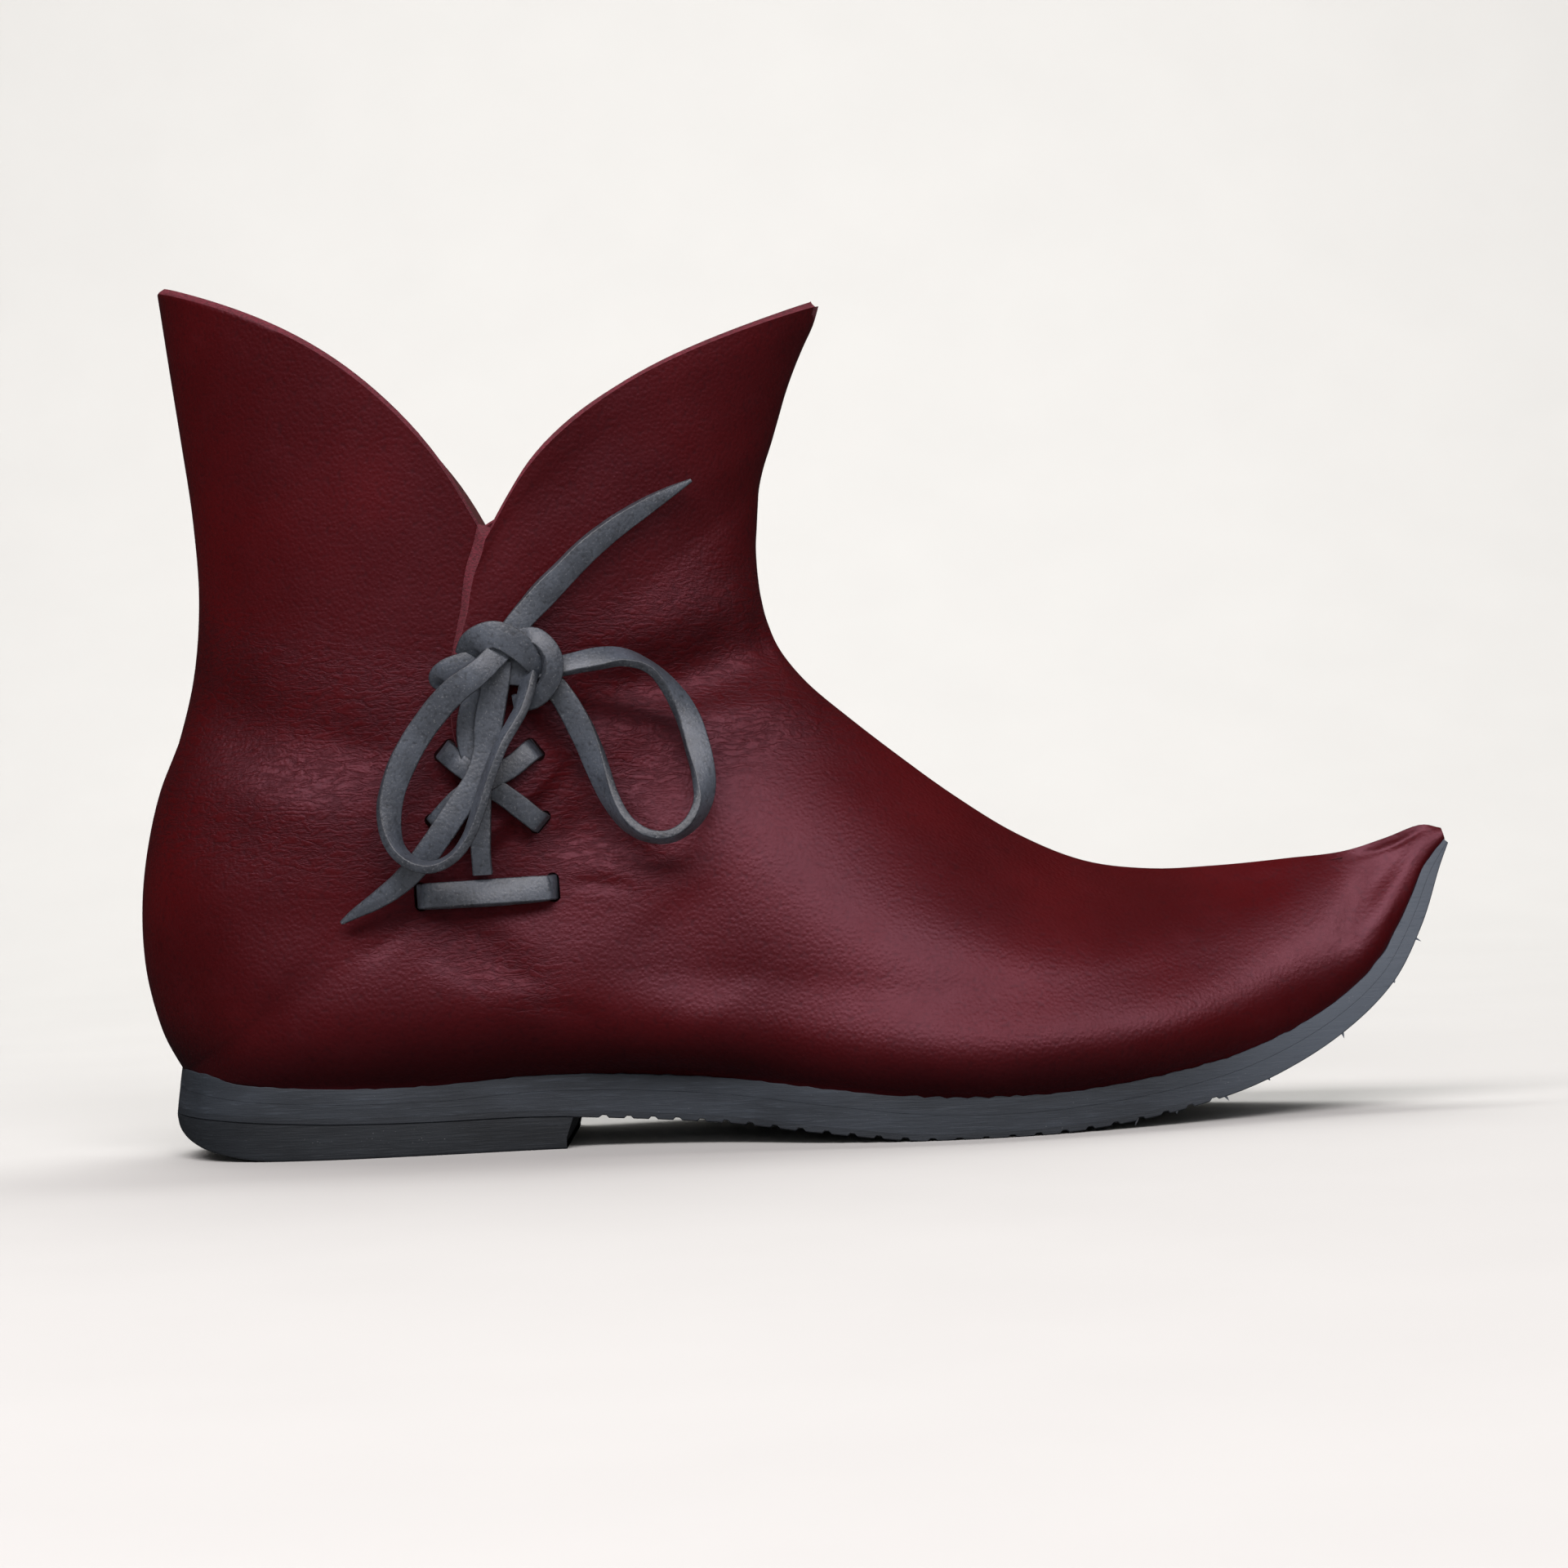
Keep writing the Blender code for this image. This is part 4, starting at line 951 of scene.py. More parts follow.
def lace_material(name, share, grain_height):
    """Dyed slate leather of the lace."""
    colours = bpy.context.scene.shoe_colours
    base = colours.lace
    recipe = Recipe(name, 0.5, 0.7)
    fibre = recipe.cloud((1.0, 1.0, 1.0), 5.0, 0.75)
    patches = recipe.cloud((7, 7, 7), 3.0)
    pebble = recipe.cells((0.7, 0.7, 0.7))
    worn = recipe.cloud((0.45, 0.45, 0.45), 2.0).between(0.6, 0.75)
    colour = recipe.shades(patches.between(0.3, 0.7), base, 0.75 * share, 1.2 * share)
    colour = recipe.blend(fibre.between(0.5, 0.75) * 0.4, colour, with_alpha(base, 1.9 * share))
    colour = recipe.blend(worn * 0.5, colour, with_alpha(colours.speck, 0.6))
    colour = recipe.blend(pebble.between(0.45, 0.8) * 0.6, colour, with_alpha(base, 0.3 * share))
    roughness = 0.36 + fibre * 0.25
    return recipe.finish(colour, roughness, (1 - pebble) * grain_height + fibre * grain_height)


def in_frame(point):
    """A place of the tables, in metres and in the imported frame."""
    return (point + CENTRE_SHIFT) * MM


def add_object(name, builder, materials):
    """Turn a bmesh into an object of the scene."""
    mesh = bpy.data.meshes.new(name)
    builder.to_mesh(mesh)
    builder.free()
    for material in materials:
        mesh.materials.append(material)
    item = bpy.data.objects.new(name, mesh)
    bpy.context.scene.collection.objects.link(item)
    return item


def make_piece(name, builder, materials, replaced, sharp_angle=SHARP_ANGLE):
    """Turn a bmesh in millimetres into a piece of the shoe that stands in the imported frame."""
    builder.normal_update()
    bmesh.ops.recalc_face_normals(builder, faces=builder.faces)
    for vert in builder.verts:
        vert.co = in_frame(vert.co)
    mark_edges(builder, sharp_angle)
    piece = add_object(name, builder, materials)
    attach(piece, "root")
    if replaced:
        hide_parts(replaced)
    return piece


def mark_edges(builder, sharp_angle):
    """Shade smoothly, but keep edges sharp that turn by more than an angle."""
    limit = math.radians(sharp_angle)
    for face in builder.faces:
        face.smooth = True
    for edge in builder.edges:
        edge.smooth = len(edge.link_faces) == 2 and edge.calc_face_angle(0.0) < limit


def close_loft(builder, rings, slots=None):
    """Close a loft of rings of points. Points of a ring may coincide and are then shared."""
    loops = []
    for ring in rings:
        shared = {}
        loop = []
        for point in ring:
            place = tuple(round(value, 4) for value in point)
            if place not in shared:
                shared[place] = builder.verts.new(point)
            loop.append(shared[place])
        loops.append(loop)
    count = len(rings[0])
    for first, second in zip(loops, loops[1:]):
        for index in range(count):
            following = (index + 1) % count
            loop = [first[index], first[following], second[following], second[index]]
            loop = list(dict.fromkeys(loop))
            if len(loop) > 2:
                face = builder.faces.new(loop)
                face.material_index = slots[index] if slots else 0
    for loop in (loops[0], loops[-1]):
        if len(set(loop)) > 2:
            builder.faces.new(list(dict.fromkeys(loop)))


def loft(rings):
    """A closed loft of its own."""
    builder = bmesh.new()
    close_loft(builder, rings)
    return builder


def station_positions():
    """Positions of the stations of the upper along its rows."""
    positions = []
    for first, last, steps in STATION_STEPS:
        positions += [first + index / steps for index in range((last - first) * steps)]
    return positions + [float(COLLAR_ROW)]


def column_shares():
    """Share of the way from the ridge to the base for each column."""
    cells = len(MAIN_SHARES) - 1
    shares = [spline(MAIN_SHARES, index / COLUMN_STEPS) for index in range(cells * COLUMN_STEPS)]
    return shares + [1.0]


class UpperShell:
    """The hollow leather upper: outer skin, inner skin, and the edges that join them."""

    def __init__(self, slant):
        self.slant = slant
        self.positions = station_positions()
        self.shares = column_shares()
        self.heel = self.positions.index(float(HEEL_ROW))
        self.cavity = self.positions.index(float(CAVITY_ROW))
        self.slit_end = self.positions.index(float(SLIT_ROW))
        self.last = len(self.positions) - 1
        self.foot = len(self.shares) - 1
        self.builder = bmesh.new()
        self.skins = ({}, {})
        self.crowns = {}
        self.full_edges = {}

    def key(self, station, column, side, flap):
        """Name of a corner of the grid. Both halves share the ridge and the back line."""
        if column == 0 or (column == self.foot and station >= self.heel):
            side = 0
        if side != -1 or column != SLIT_COLUMN or station <= self.slit_end:
            flap = ""
        return station, column, side, flap

    def flap_of(self, column, side):
        """Flap that a cell of the grid belongs to."""
        if side == 1:
            return ""
        return "front" if column < SLIT_COLUMN else "back"

    def in_front_flap(self, column, side, flap):
        """Whether a corner belongs to the front flap."""
        return side == -1 and (column < SLIT_COLUMN or flap == "front")

    def lay_outer_skin(self):
        """Points of the outer skin, with the front flap's edge slanted so that its cut shows."""
        for station, position in enumerate(self.positions):
            ramp = (position - SLANT_FROM_ROW) / (SLANT_TO_ROW - SLANT_FROM_ROW)
            slant = self.slant * smooth(ramp)
            for column, share in enumerate(self.shares):
                for side in (-1, 1):
                    for flap in ("front", "back") if side == -1 else ("",):
                        place = self.key(station, column, side, flap)
                        if place in self.skins[0]:
                            continue
                        if side == 1:
                            point = upper_point(position, share, side)
                        else:
                            at_slit = column == SLIT_COLUMN
                            near = flap if at_slit else self.flap_of(column, side)
                            point = flap_point(position, share, near, at_slit)
                            if place[3] == "front":
                                cut = flap_point(position, share, near, at_slit, slant)
                                self.full_edges[place] = point - cut
                        self.skins[0][place] = self.builder.verts.new(point)

    def cells(self, first):
        """Corners of each cell of the grid from a station on, with its side."""
        for station in range(first, self.last):
            for column in range(self.foot):
                for side in (-1, 1):
                    flap = self.flap_of(column, side)
                    yield side, [self.key(station, column, side, flap),
                                 self.key(station, column + 1, side, flap),
                                 self.key(station + 1, column + 1, side, flap),
                                 self.key(station + 1, column, side, flap)]

    def add_skin(self, layer, first):
        """Faces of one skin."""
        for side, loop in self.cells(first):
            verts = [self.skins[layer][place] for place in loop]
            if (side == 1) != (layer == 0):
                verts.reverse()
            self.builder.faces.new(verts).material_index = layer

    def crease(self):
        """Press the creases into the outer skin and let it run a little uneven."""
        self.builder.normal_update()
        places = list(self.skins[0])
        verts = [self.skins[0][place] for place in places]
        x = np.array([vert.co.x for vert in verts])
        z = np.array([vert.co.z for vert in verts])
        side = np.sign([vert.co.y for vert in verts])
        depth, _ = crease_depths(x, z, side)
        depth = depth * bpy.context.scene.shoe_sizes.crease_depth
        rest = np.clip((z - np.interp(x, *SOLE_TOP)) / CREASE_REST_HEIGHT, 0, 1)
        for vert, value, calm in zip(verts, depth, rest):
            uneven = noise.noise(vert.co / UNEVEN_SIZE) * UNEVEN_HEIGHT
            off_middle = min(1.0, abs(vert.co.y) / CREASE_MIDDLE_WIDTH + CREASE_MIDDLE_SHARE)
            vert.co -= vert.normal * float(value - uneven) * float(calm) * off_middle
        self.builder.normal_update()

    def lay_inner_skin(self):
        """Points of the inner skin, one wall thickness inside."""
        inside = {}
        for place, vert in self.skins[0].items():
            station, column, side, _ = place
            if station < self.cavity:
                continue
            if column == self.foot and station <= self.heel:
                inside[place] = sole_edge(self.positions[station], side or 1, WALL)
                continue
            faces = vert.link_faces
            facing = sum(vert.normal.dot(face.normal) for face in faces) / len(faces)
            inside[place] = vert.co - vert.normal * (WALL / max(WALL_FOLD_LIMIT, facing))
        for place, point in inside.items():
            self.skins[1][place] = self.builder.verts.new(point)

    def slant_edges(self):
        """Slant the cut edges of the front flap and of the collar, so that they show from outside."""
        for place, step in self.full_edges.items():
            self.skins[0][place].co -= step
        for place, vert in self.skins[0].items():
            station, column, side, flap = place
            if station == self.last:
                below = self.skins[0][(station - 1, column, side, flap)].co
                ramp = smooth((self.shares[column] - SLIT_SLANT_START) / SLIT_SLANT_RAMP)
                slant = COLLAR_SLANT + SLIT_SLANT * ramp * self.in_front_flap(column, side, flap)
                vert.co += (below - vert.co).normalized() * slant

    def outer(self, *place):
        """Corner of the outer skin."""
        return self.skins[0][self.key(*place)]

    def inner(self, *place):
        """Corner of the inner skin."""
        return self.skins[1][self.key(*place)]

    def crown(self, *place):
        """Two points that round the cut edge between the skins."""
        station, column, side, flap = place
        place = self.key(*place)
        if place in self.crowns:
            return self.crowns[place]
        start = self.skins[0][place].co
        away = Vector((0.0, 0.0, 0.0))
        if station == self.last:
            away += (start - self.outer(station - 1, column, side, flap).co).normalized()
        if column == SLIT_COLUMN and side == -1 and station > self.slit_end:
            back = column - 1 if flap == "front" else column + 1
            away += (start - self.outer(station, back, side, flap).co).normalized()
        span = self.skins[1][place].co - start
        points = [start + span * share + away * EDGE_CROWN for share in CROWN_SHARES]
        self.crowns[place] = [self.builder.verts.new(point) for point in points]
        return self.crowns[place]

    def add_rim(self, first, second):
        """Rounded cut edge between two neighbouring corners."""
        rows = []
        for place in (first, second):
            rows.append([self.outer(*place), *self.crown(*place), self.inner(*place)])
        for index in range(3):
            loop = [rows[0][index], rows[1][index], rows[1][index + 1], rows[0][index + 1]]
            self.builder.faces.new(loop).material_index = CUT_SLOT

    def add_edges(self):
        """Collar, slit, base, toe tip and the end of the hollow."""
        for column in range(self.foot):
            tip = [self.outer(0, column, -1, ""),
                   self.outer(0, column, 1, ""),
                   self.outer(0, column + 1, 1, ""),
                   self.outer(0, column + 1, -1, "")]
            end = [self.inner(self.cavity, column, 1, ""),
                   self.inner(self.cavity, column, -1, ""),
                   self.inner(self.cavity, column + 1, -1, ""),
                   self.inner(self.cavity, column + 1, 1, "")]
            for layer, loop in enumerate((tip, end)):
                self.builder.faces.new(list(dict.fromkeys(loop))).material_index = layer
            for side in (-1, 1):
                flap = self.flap_of(column, side)
                self.add_rim((self.last, column, side, flap), (self.last, column + 1, side, flap))
        foot = self.foot
        for station in range(self.cavity - 1):
            self.builder.faces.new([self.outer(station, foot, -1, ""), self.outer(station, foot, 1, ""),
                                    self.outer(station + 1, foot, 1, ""),
                                    self.outer(station + 1, foot, -1, "")])
        before = self.cavity - 1
        self.builder.faces.new([
            self.outer(before, foot, -1, ""), self.outer(before, foot, 1, ""),
            self.outer(self.cavity, foot, 1, ""), self.inner(self.cavity, foot, 1, ""),
            self.inner(self.cavity, foot, -1, ""), self.outer(self.cavity, foot, -1, "")])
        for station in range(self.cavity, self.heel):
            for side in (-1, 1):
                self.builder.faces.new([
                    self.outer(station, foot, side, ""), self.inner(station, foot, side, ""),
                    self.inner(station + 1, foot, side, ""), self.outer(station + 1, foot, side, "")])
        for station in range(self.slit_end, self.last):
            for flap in ("front", "back"):
                self.add_rim((station, SLIT_COLUMN, -1, flap), (station + 1, SLIT_COLUMN, -1, flap))

    def show_peak_end(self):
        """Cut end of the two panels at the front peak of the collar."""
        peak = self.outer(self.last, 0, 0, "").co.copy()
        for face in self.builder.faces:
            near = (face.calc_center_median() - peak).length < PEAK_END
            if near and face.material_index == GRAIN_SLOT:
                face.material_index = CUT_SLOT

    def build(self):
        """Make the whole shell."""
        self.lay_outer_skin()
        self.add_skin(0, 0)
        self.crease()
        self.lay_inner_skin()
        self.slant_edges()
        self.add_skin(1, self.cavity)
        self.add_edges()
        self.show_peak_end()
        return self.builder


def leather_heights():
    """Outer face of the laced half as points (x, z, distance from the middle plane)."""
    points = []
    for step in range(ROW_PARTS * FIRST_HEIGHT_ROW, ROW_PARTS * COLLAR_ROW + 1):
        for share in HEIGHT_SHARES:
            point = upper_point(step / ROW_PARTS, float(share), -1)
            points.append((point.x, point.z, -point.y))
    return np.array(points)


LEATHER = leather_heights()


def leather_height(x, z):
    """Distance of the laced half's outer face from the middle plane at a place."""
    distance = np.hypot(LEATHER[:, 0] - x, LEATHER[:, 1] - z)
    near = np.argsort(distance)[:NEAR_POINTS]
    weight = 1.0 / (distance[near] + NEAR_SPREAD) ** 2
    return float((LEATHER[near, 2] * weight).sum() / weight.sum())


def turned_down(end, beside):
    """End of a lace table that turns down into its slot."""
    x, z, lift, turn, width = end
    length = math.hypot(x - beside[0], z - beside[1])
    step_x = (x - beside[0]) / length
    step_z = (z - beside[1]) / length
    return [(x + step_x * away, z + step_z * away, lift - fall, turn, width) for away, fall in DIVE]


def laced_rows(rows):
    """A lace table with both ends turned down into their slots."""
    return turned_down(rows[0], rows[1])[::-1] + list(rows[1:-1]) + turned_down(rows[-1], rows[-2])


def slot_places():
    """Punched slots: place in the side view, direction of the strip and length of the slot."""
    for rows in (BAR_ROWS, ARM_A_ROWS, ARM_B_ROWS):
        for end, beside in ((rows[0], rows[1]), (rows[-1], rows[-2])):
            direction = math.atan2(end[1] - beside[1], end[0] - beside[0])
            x = end[0] + SLOT_AWAY * math.cos(direction)
            z = end[1] + SLOT_AWAY * math.sin(direction)
            yield x, z, direction, end[4] + SLOT_SPARE


def slot_cutter(width):
    """One bmesh with a rounded bar across the leather for each punched slot."""
    builder = bmesh.new()
    for x, z, direction, length in slot_places():
        height = leather_height(x, z)
        slope_x = leather_height(x + 1, z) - leather_height(x - 1, z)
        slope_z = leather_height(x, z + 1) - leather_height(x, z - 1)
        outward = Vector((-0.5 * slope_x, -1.0, -0.5 * slope_z)).normalized()
        thin = Vector((math.cos(direction), 0.0, math.sin(direction)))
        thin = (thin - outward * thin.dot(outward)).normalized()
        long = outward.cross(thin)
        centre = Vector((x, -height, z))
        rings = []
        for depth in (-SLOT_DEPTH, SLOT_DEPTH):
            ring = []
            for index in range(SLOT_SIDES):
                angle = 2 * math.pi * index / SLOT_SIDES
                straight = math.copysign(0.5 * (length - width), math.sin(angle) + 1e-9)
                ring.append(centre + outward * depth + thin * (0.5 * width * math.cos(angle))
                            + long * (straight + 0.5 * width * math.sin(angle)))
            rings.append(ring)
        close_loft(builder, rings)
    for face in builder.faces:
        face.material_index = CUT_SLOT
    builder.normal_update()
    bmesh.ops.recalc_face_normals(builder, faces=builder.faces)
    return builder


def punch_slots(piece, width):
    """Cut the punched slots out of the upper."""
    builder = slot_cutter(width)
    for vert in builder.verts:
        vert.co = in_frame(vert.co)
    punch = add_object("slot_punch", builder, piece.data.materials)
    cut = piece.modifiers.new("punch", "BOOLEAN")
    cut.operation = "DIFFERENCE"
    cut.solver = "EXACT"
    cut.object = punch
    graph = bpy.context.evaluated_depsgraph_get()
    punched = bpy.data.meshes.new_from_object(piece.evaluated_get(graph))
    piece.modifiers.remove(cut)
    spent = (piece.data, punch.data)
    piece.data = punched
    bpy.data.objects.remove(punch)
    for mesh in spent:
        bpy.data.meshes.remove(mesh)


def store_leather_places(piece):
    """Keep how creased each point is and how high it stands over the sole's edge."""
    mesh = piece.data
    places = np.empty(len(mesh.vertices) * 3)
    mesh.vertices.foreach_get("co", places)
    x, y, z = (places.reshape(-1, 3) / MM - np.array(CENTRE_SHIFT)).T
    _, amount = crease_depths(x, z, np.sign(y))
    height = z - np.interp(x, *SOLE_TOP)
    # The painted shade along the lower edge reads this height; it is raised towards the toe so that the
    # shade fades out there
    height += TOE_LIGHT * np.clip((x - TOE_LIGHT_X) / TOE_LIGHT_RAMP, 0, 1)
    for name, values in (("crease", amount), ("sole_height", height)):
        mesh.attributes.new(name, "FLOAT", "POINT").data.foreach_set("value", values.astype(np.float32))


def strip_frames(rows):
    """Middle, across and outward directions, half width and half thickness along a lace strip."""
    table = table_columns(LACE_COLUMNS, rows)
    thickness = bpy.context.scene.shoe_sizes.lace_thickness / MM
    count = (len(rows) - 1) * LACE_STEPS
    bases = [leather_height(x, z) for x, z in zip(table["x"], table["z"])]
    path = []
    for index in range(count + 1):
        place = index / LACE_STEPS
        lift = spline(bases, place) + spline(table["lift"], place)
        path.append(Vector((spline(table["x"], place), -lift, spline(table["z"], place))))
    frames = []
    facing = Vector((0.0, -1.0, 0.0))
    for index, point in enumerate(path):
        place = index / LACE_STEPS
        along = (path[min(count, index + 1)] - path[max(0, index - 1)]).normalized()
        side = along.cross(facing)
        if side.length < SIDE_LIMIT:
            flat = Vector((rows[-1][0] - rows[0][0], 0.0, rows[-1][1] - rows[0][1])).normalized()
            side = flat.cross(facing)
        across = (side - along * side.dot(along)).normalized()
        raised = across.cross(along)
        turn = math.radians(spline(table["turn"], place))
        turned = across * math.cos(turn) + raised * math.sin(turn)
        lifted = raised * math.cos(turn) - across * math.sin(turn)
        change = 1 + LACE_WIDTH_CHANGE * noise.noise(point / LACE_WIDTH_PATCH)
        width = spline(table["width"], place) * change
        height = min(thickness, LACE_TIP_SHARE * width)
        frames.append((point, turned, lifted, 0.5 * width, 0.5 * height))
    return frames


def strip_ring(point, turned, lifted, half_width, half_thickness):
    """Section of a strip with rounded edges."""
    radius = min(LACE_EDGE_RADIUS, LACE_EDGE_SHARE * half_width, LACE_EDGE_SHARE * half_thickness)
    ring = []
    for start, side_x, side_y in ((180, -1, -1), (270, 1, -1), (0, 1, 1), (90, -1, 1)):
        for step in range(3):
            angle = math.radians(start + 45 * step)
            sideways = side_x * (half_width - radius) + radius * math.cos(angle)
            outward = side_y * (half_thickness - radius) + radius * math.sin(angle)
            ring.append(point + turned * sideways + lifted * outward)
    return ring


def add_strip(builder, rows):
    """Add one lace strip to a bmesh and give the points that it follows."""
    frames = strip_frames(rows)
    close_loft(builder, [strip_ring(*row) for row in frames], STRIP_SLOTS)
    return [row[0] for row in frames]


def lace_materials():
    """Finish of the lace's faces and of its cut edges."""
    names = ("lace_leather_face", "lace_leather_edge")
    if names[0] not in bpy.data.materials:
        lace_material(names[0], 0.85, 0.07)
        lace_material(names[1], 0.5, 0.10)
    return [bpy.data.materials[name] for name in names]


def make_strips(name, tables, replaced):
    """A piece of one or more lace strips."""
    builder = bmesh.new()
    for rows in tables:
        add_strip(builder, rows)
    return make_piece(name, builder, lace_materials(), replaced, LACE_SHARP_ANGLE)


def make_free_strip(name, rows, replaced):
    """A free length of the lace."""
    builder = bmesh.new()
    path = add_strip(builder, rows)
    piece = make_piece(name, builder, lace_materials(), replaced, LACE_SHARP_ANGLE)
    path = [in_frame(point) for point in path]
    length = sum((second - first).length for first, second in zip(path, path[1:]))


def sole_thickness(position):
    """Full thickness of the sole below the upper."""
    return spline(FOOT["sole"], position)


def midsole_thickness(position):
    """Thickness of the sole's upper layer, thinner towards the toe tip."""
    return min(MIDSOLE_THICKNESS, MIDSOLE_SHARE * sole_thickness(position))


def fine_positions(first, last, marks=()):
    """Closely laid positions for the lofts of the sole, with given marks among them."""
    count = max(2, math.ceil((last - first) / SOLE_STEP))
    places = {round(first + (last - first) * index / count, 5) for index in range(count + 1)}
    places |= {round(mark, 5) for mark in marks if first < mark < last}
    return sorted(places)


def layer_ring(position, profile, top_depth, low_depth, top_lift=0.0):
    """Section of a layer of the sole between two depths."""
    up = sole_frame(position)
    halves = []
    for side in (-1, 1):
        half = []
        for place, (step_in, share) in enumerate(profile):
            edge = sole_edge(position, side, step_in - SOLE_MARGIN)
            depth = top_depth + (low_depth - top_depth) * share
            point = edge - up * depth
            if place < RAISED_POINTS:
                point += up * top_lift
            half.append(point)
        halves.append(half)
    return halves[0] + halves[1][::-1]


def edge_rise(x):
    """Rise of the sole's top edge: lumps, scallops under the ball of the foot, a tab at the back."""
    rise = LUMP_HEIGHT * (1 + noise.noise(Vector((x / LUMP_LENGTH, 0.0, 0.0))))
    rise += TAB_HEIGHT * smooth((TAB_X - x) / TAB_FADE)
    if SCALLOP_FROM_X < x < SCALLOP_TO_X:
        fade = min(1.0, (x - SCALLOP_FROM_X) / SCALLOP_FADE, (SCALLOP_TO_X - x) / SCALLOP_FADE)
        rise += SCALLOP_HEIGHT * fade * abs(math.sin(math.pi * x / SCALLOP_PITCH))
    return rise


def rib_lift(x):
    """Rise of the tread between its cross ribs."""
    if not RIB_BACK_X < x < RIB_FRONT_X:
        return 0.0
    way = (RIB_FRONT_X - x) % RIB_PITCH
    if way <= RIB_CREST:
        return 0.0
    rise = min(way - RIB_CREST, RIB_PITCH - way) / RIB_FLANK
    return RIB_DEPTH * min(1.0, rise)


def build_midsole():
    """Upper layer of the sole."""
    rings = []
    for position in fine_positions(SOLE_START, float(HEEL_ROW)):
        low_depth = tread_depths(position)[0] - LAYER_GAP
        rise = edge_rise(base_path(position)[0])
        rings.append(layer_ring(position, UPPER_LAYER_SIDE, LAYER_GAP, low_depth, rise))
    return loft(rings)


def rib_marks():
    """Positions of the corners of the tread's ribs."""
    marks = []
    crest = RIB_FRONT_X
    while crest - RIB_PITCH > RIB_BACK_X:
        groove = crest - RIB_CREST - RIB_FLANK
        ridge = crest - RIB_PITCH
        marks += [position_at(place) for place in (crest, crest - RIB_CREST, groove, ridge + RIB_FLANK)]
        crest = ridge
    return marks


def tread_depths(position):
    """Depths of the top of the outsole, the top of its tread layer and the ground face."""
    top_depth = midsole_thickness(position) + SEAT_GAP
    full_depth = max(sole_thickness(position), top_depth + SEAT_GAP)
    tread = min(TREAD_LAYER, TREAD_SHARE * (full_depth - top_depth))
    return top_depth, full_depth - tread, full_depth


def build_outsole():
    """Lower layer of the sole."""
    rings = []
    for position in fine_positions(SOLE_START, float(HEEL_ROW)):
        top_depth, tread_depth, _ = tread_depths(position)
        rings.append(layer_ring(position, LOWER_LAYER_SIDE, top_depth, tread_depth))
    return loft(rings)


def build_tread():
    """Tread layer with its cross ribs, set in by a hair from the layer above it."""
    rings = []
    for position in fine_positions(SOLE_START, float(HEEL_ROW), rib_marks()):
        _, tread_depth, full_depth = tread_depths(position)
        up = sole_frame(position)
        x = base_path(position)[0]
        lift = rib_lift(x)
        step_in = TREAD_STEP * smooth((TREAD_STEP_END_X - x) / TREAD_STEP_FADE)
        halves = []
        for side in (-1, 1):
            stepped = sole_edge(position, side, step_in - SOLE_MARGIN)
            turned_in = sole_edge(position, side, step_in + TREAD_CHAMFER - SOLE_MARGIN)
            high = stepped - up * tread_depth
            low = stepped - up * (full_depth - TREAD_CHAMFER)
            ground = turned_in - up * full_depth
            ground.z = max(0.0, ground.z) + lift
            low.z = max(min(TREAD_CHAMFER, high.z), low.z + lift)
            halves.append([high, low, ground])
        rings.append(halves[0] + halves[1][::-1])
    builder = loft(rings)
    add_burrs(builder)
    return builder


def add_burrs(builder):
    """Thin threads of rubber left standing on the laced side's lower edge."""
    roots = {}
    for position in fine_positions(SOLE_START, BURR_LAST_ROW):
        edge = sole_edge(position, -1, BURR_INSET - SOLE_MARGIN)
        roots[position] = edge - sole_frame(position) * (tread_depths(position)[2] - BURR_ROOT)
    for index, x in enumerate(BURR_PLACES):
        position = min(roots, key=lambda place: abs(roots[place].x - x))
        root = roots[position]
        lean = Vector((math.sin(5 * index), -0.4, 0.0)) * BURR_LEAN
        along = (lean - sole_frame(position)).normalized()
        length = BURR_LENGTH * (0.7 + 0.3 * math.cos(3 * index))
        rings = []
        for share in BURR_SHARES:
            radius = BURR_RADIUS * (1 + BURR_TIP_SHARE - max(0.0, share))
            middle = root + along * (length * share)
            ring = []
            for side in range(BURR_SIDES):
                angle = 2 * math.pi * side / BURR_SIDES
                outward = Vector((math.cos(angle), BURR_FLATNESS * math.sin(angle), math.sin(angle)))
                ring.append(middle + outward * radius)
            rings.append(ring)
        close_loft(builder, rings)


def heel_floor(x):
    """Height of the heel's ground face, rounded up towards the back."""
    beyond = max(0.0, HEEL_ROUND_START_X - x) / HEEL_ROUND_LENGTH
    return HEEL_ROUND_HEIGHT * (1 - math.sqrt(max(0.0, 1 - beyond * beyond)))


def build_heel():
    """Heel block with a slightly rounded lower edge."""
    rings = []
    breast = position_at(HEEL_BREAST_X)
    for index, position in enumerate(fine_positions(breast, float(HEEL_ROW))):
        full_depth = tread_depths(position)[2]
        up = sole_frame(position)
        halves = []
        for side in (-1, 1):
            half = []
            for step_in, share in HEEL_SIDE:
                edge = sole_edge(position, side, TREAD_STEP + step_in - SOLE_MARGIN)
                high = edge - up * full_depth - Vector((0.0, 0.0, LAYER_GAP))
                x = high.x - (HEEL_BREAST_SLANT * share if index == 0 else 0.0)
                low = heel_floor(high.x)
                half.append(Vector((x, high.y, high.z + (low - high.z) * share)))
            halves.append(half)
        rings.append(halves[0] + halves[1][::-1])
    return loft(rings)


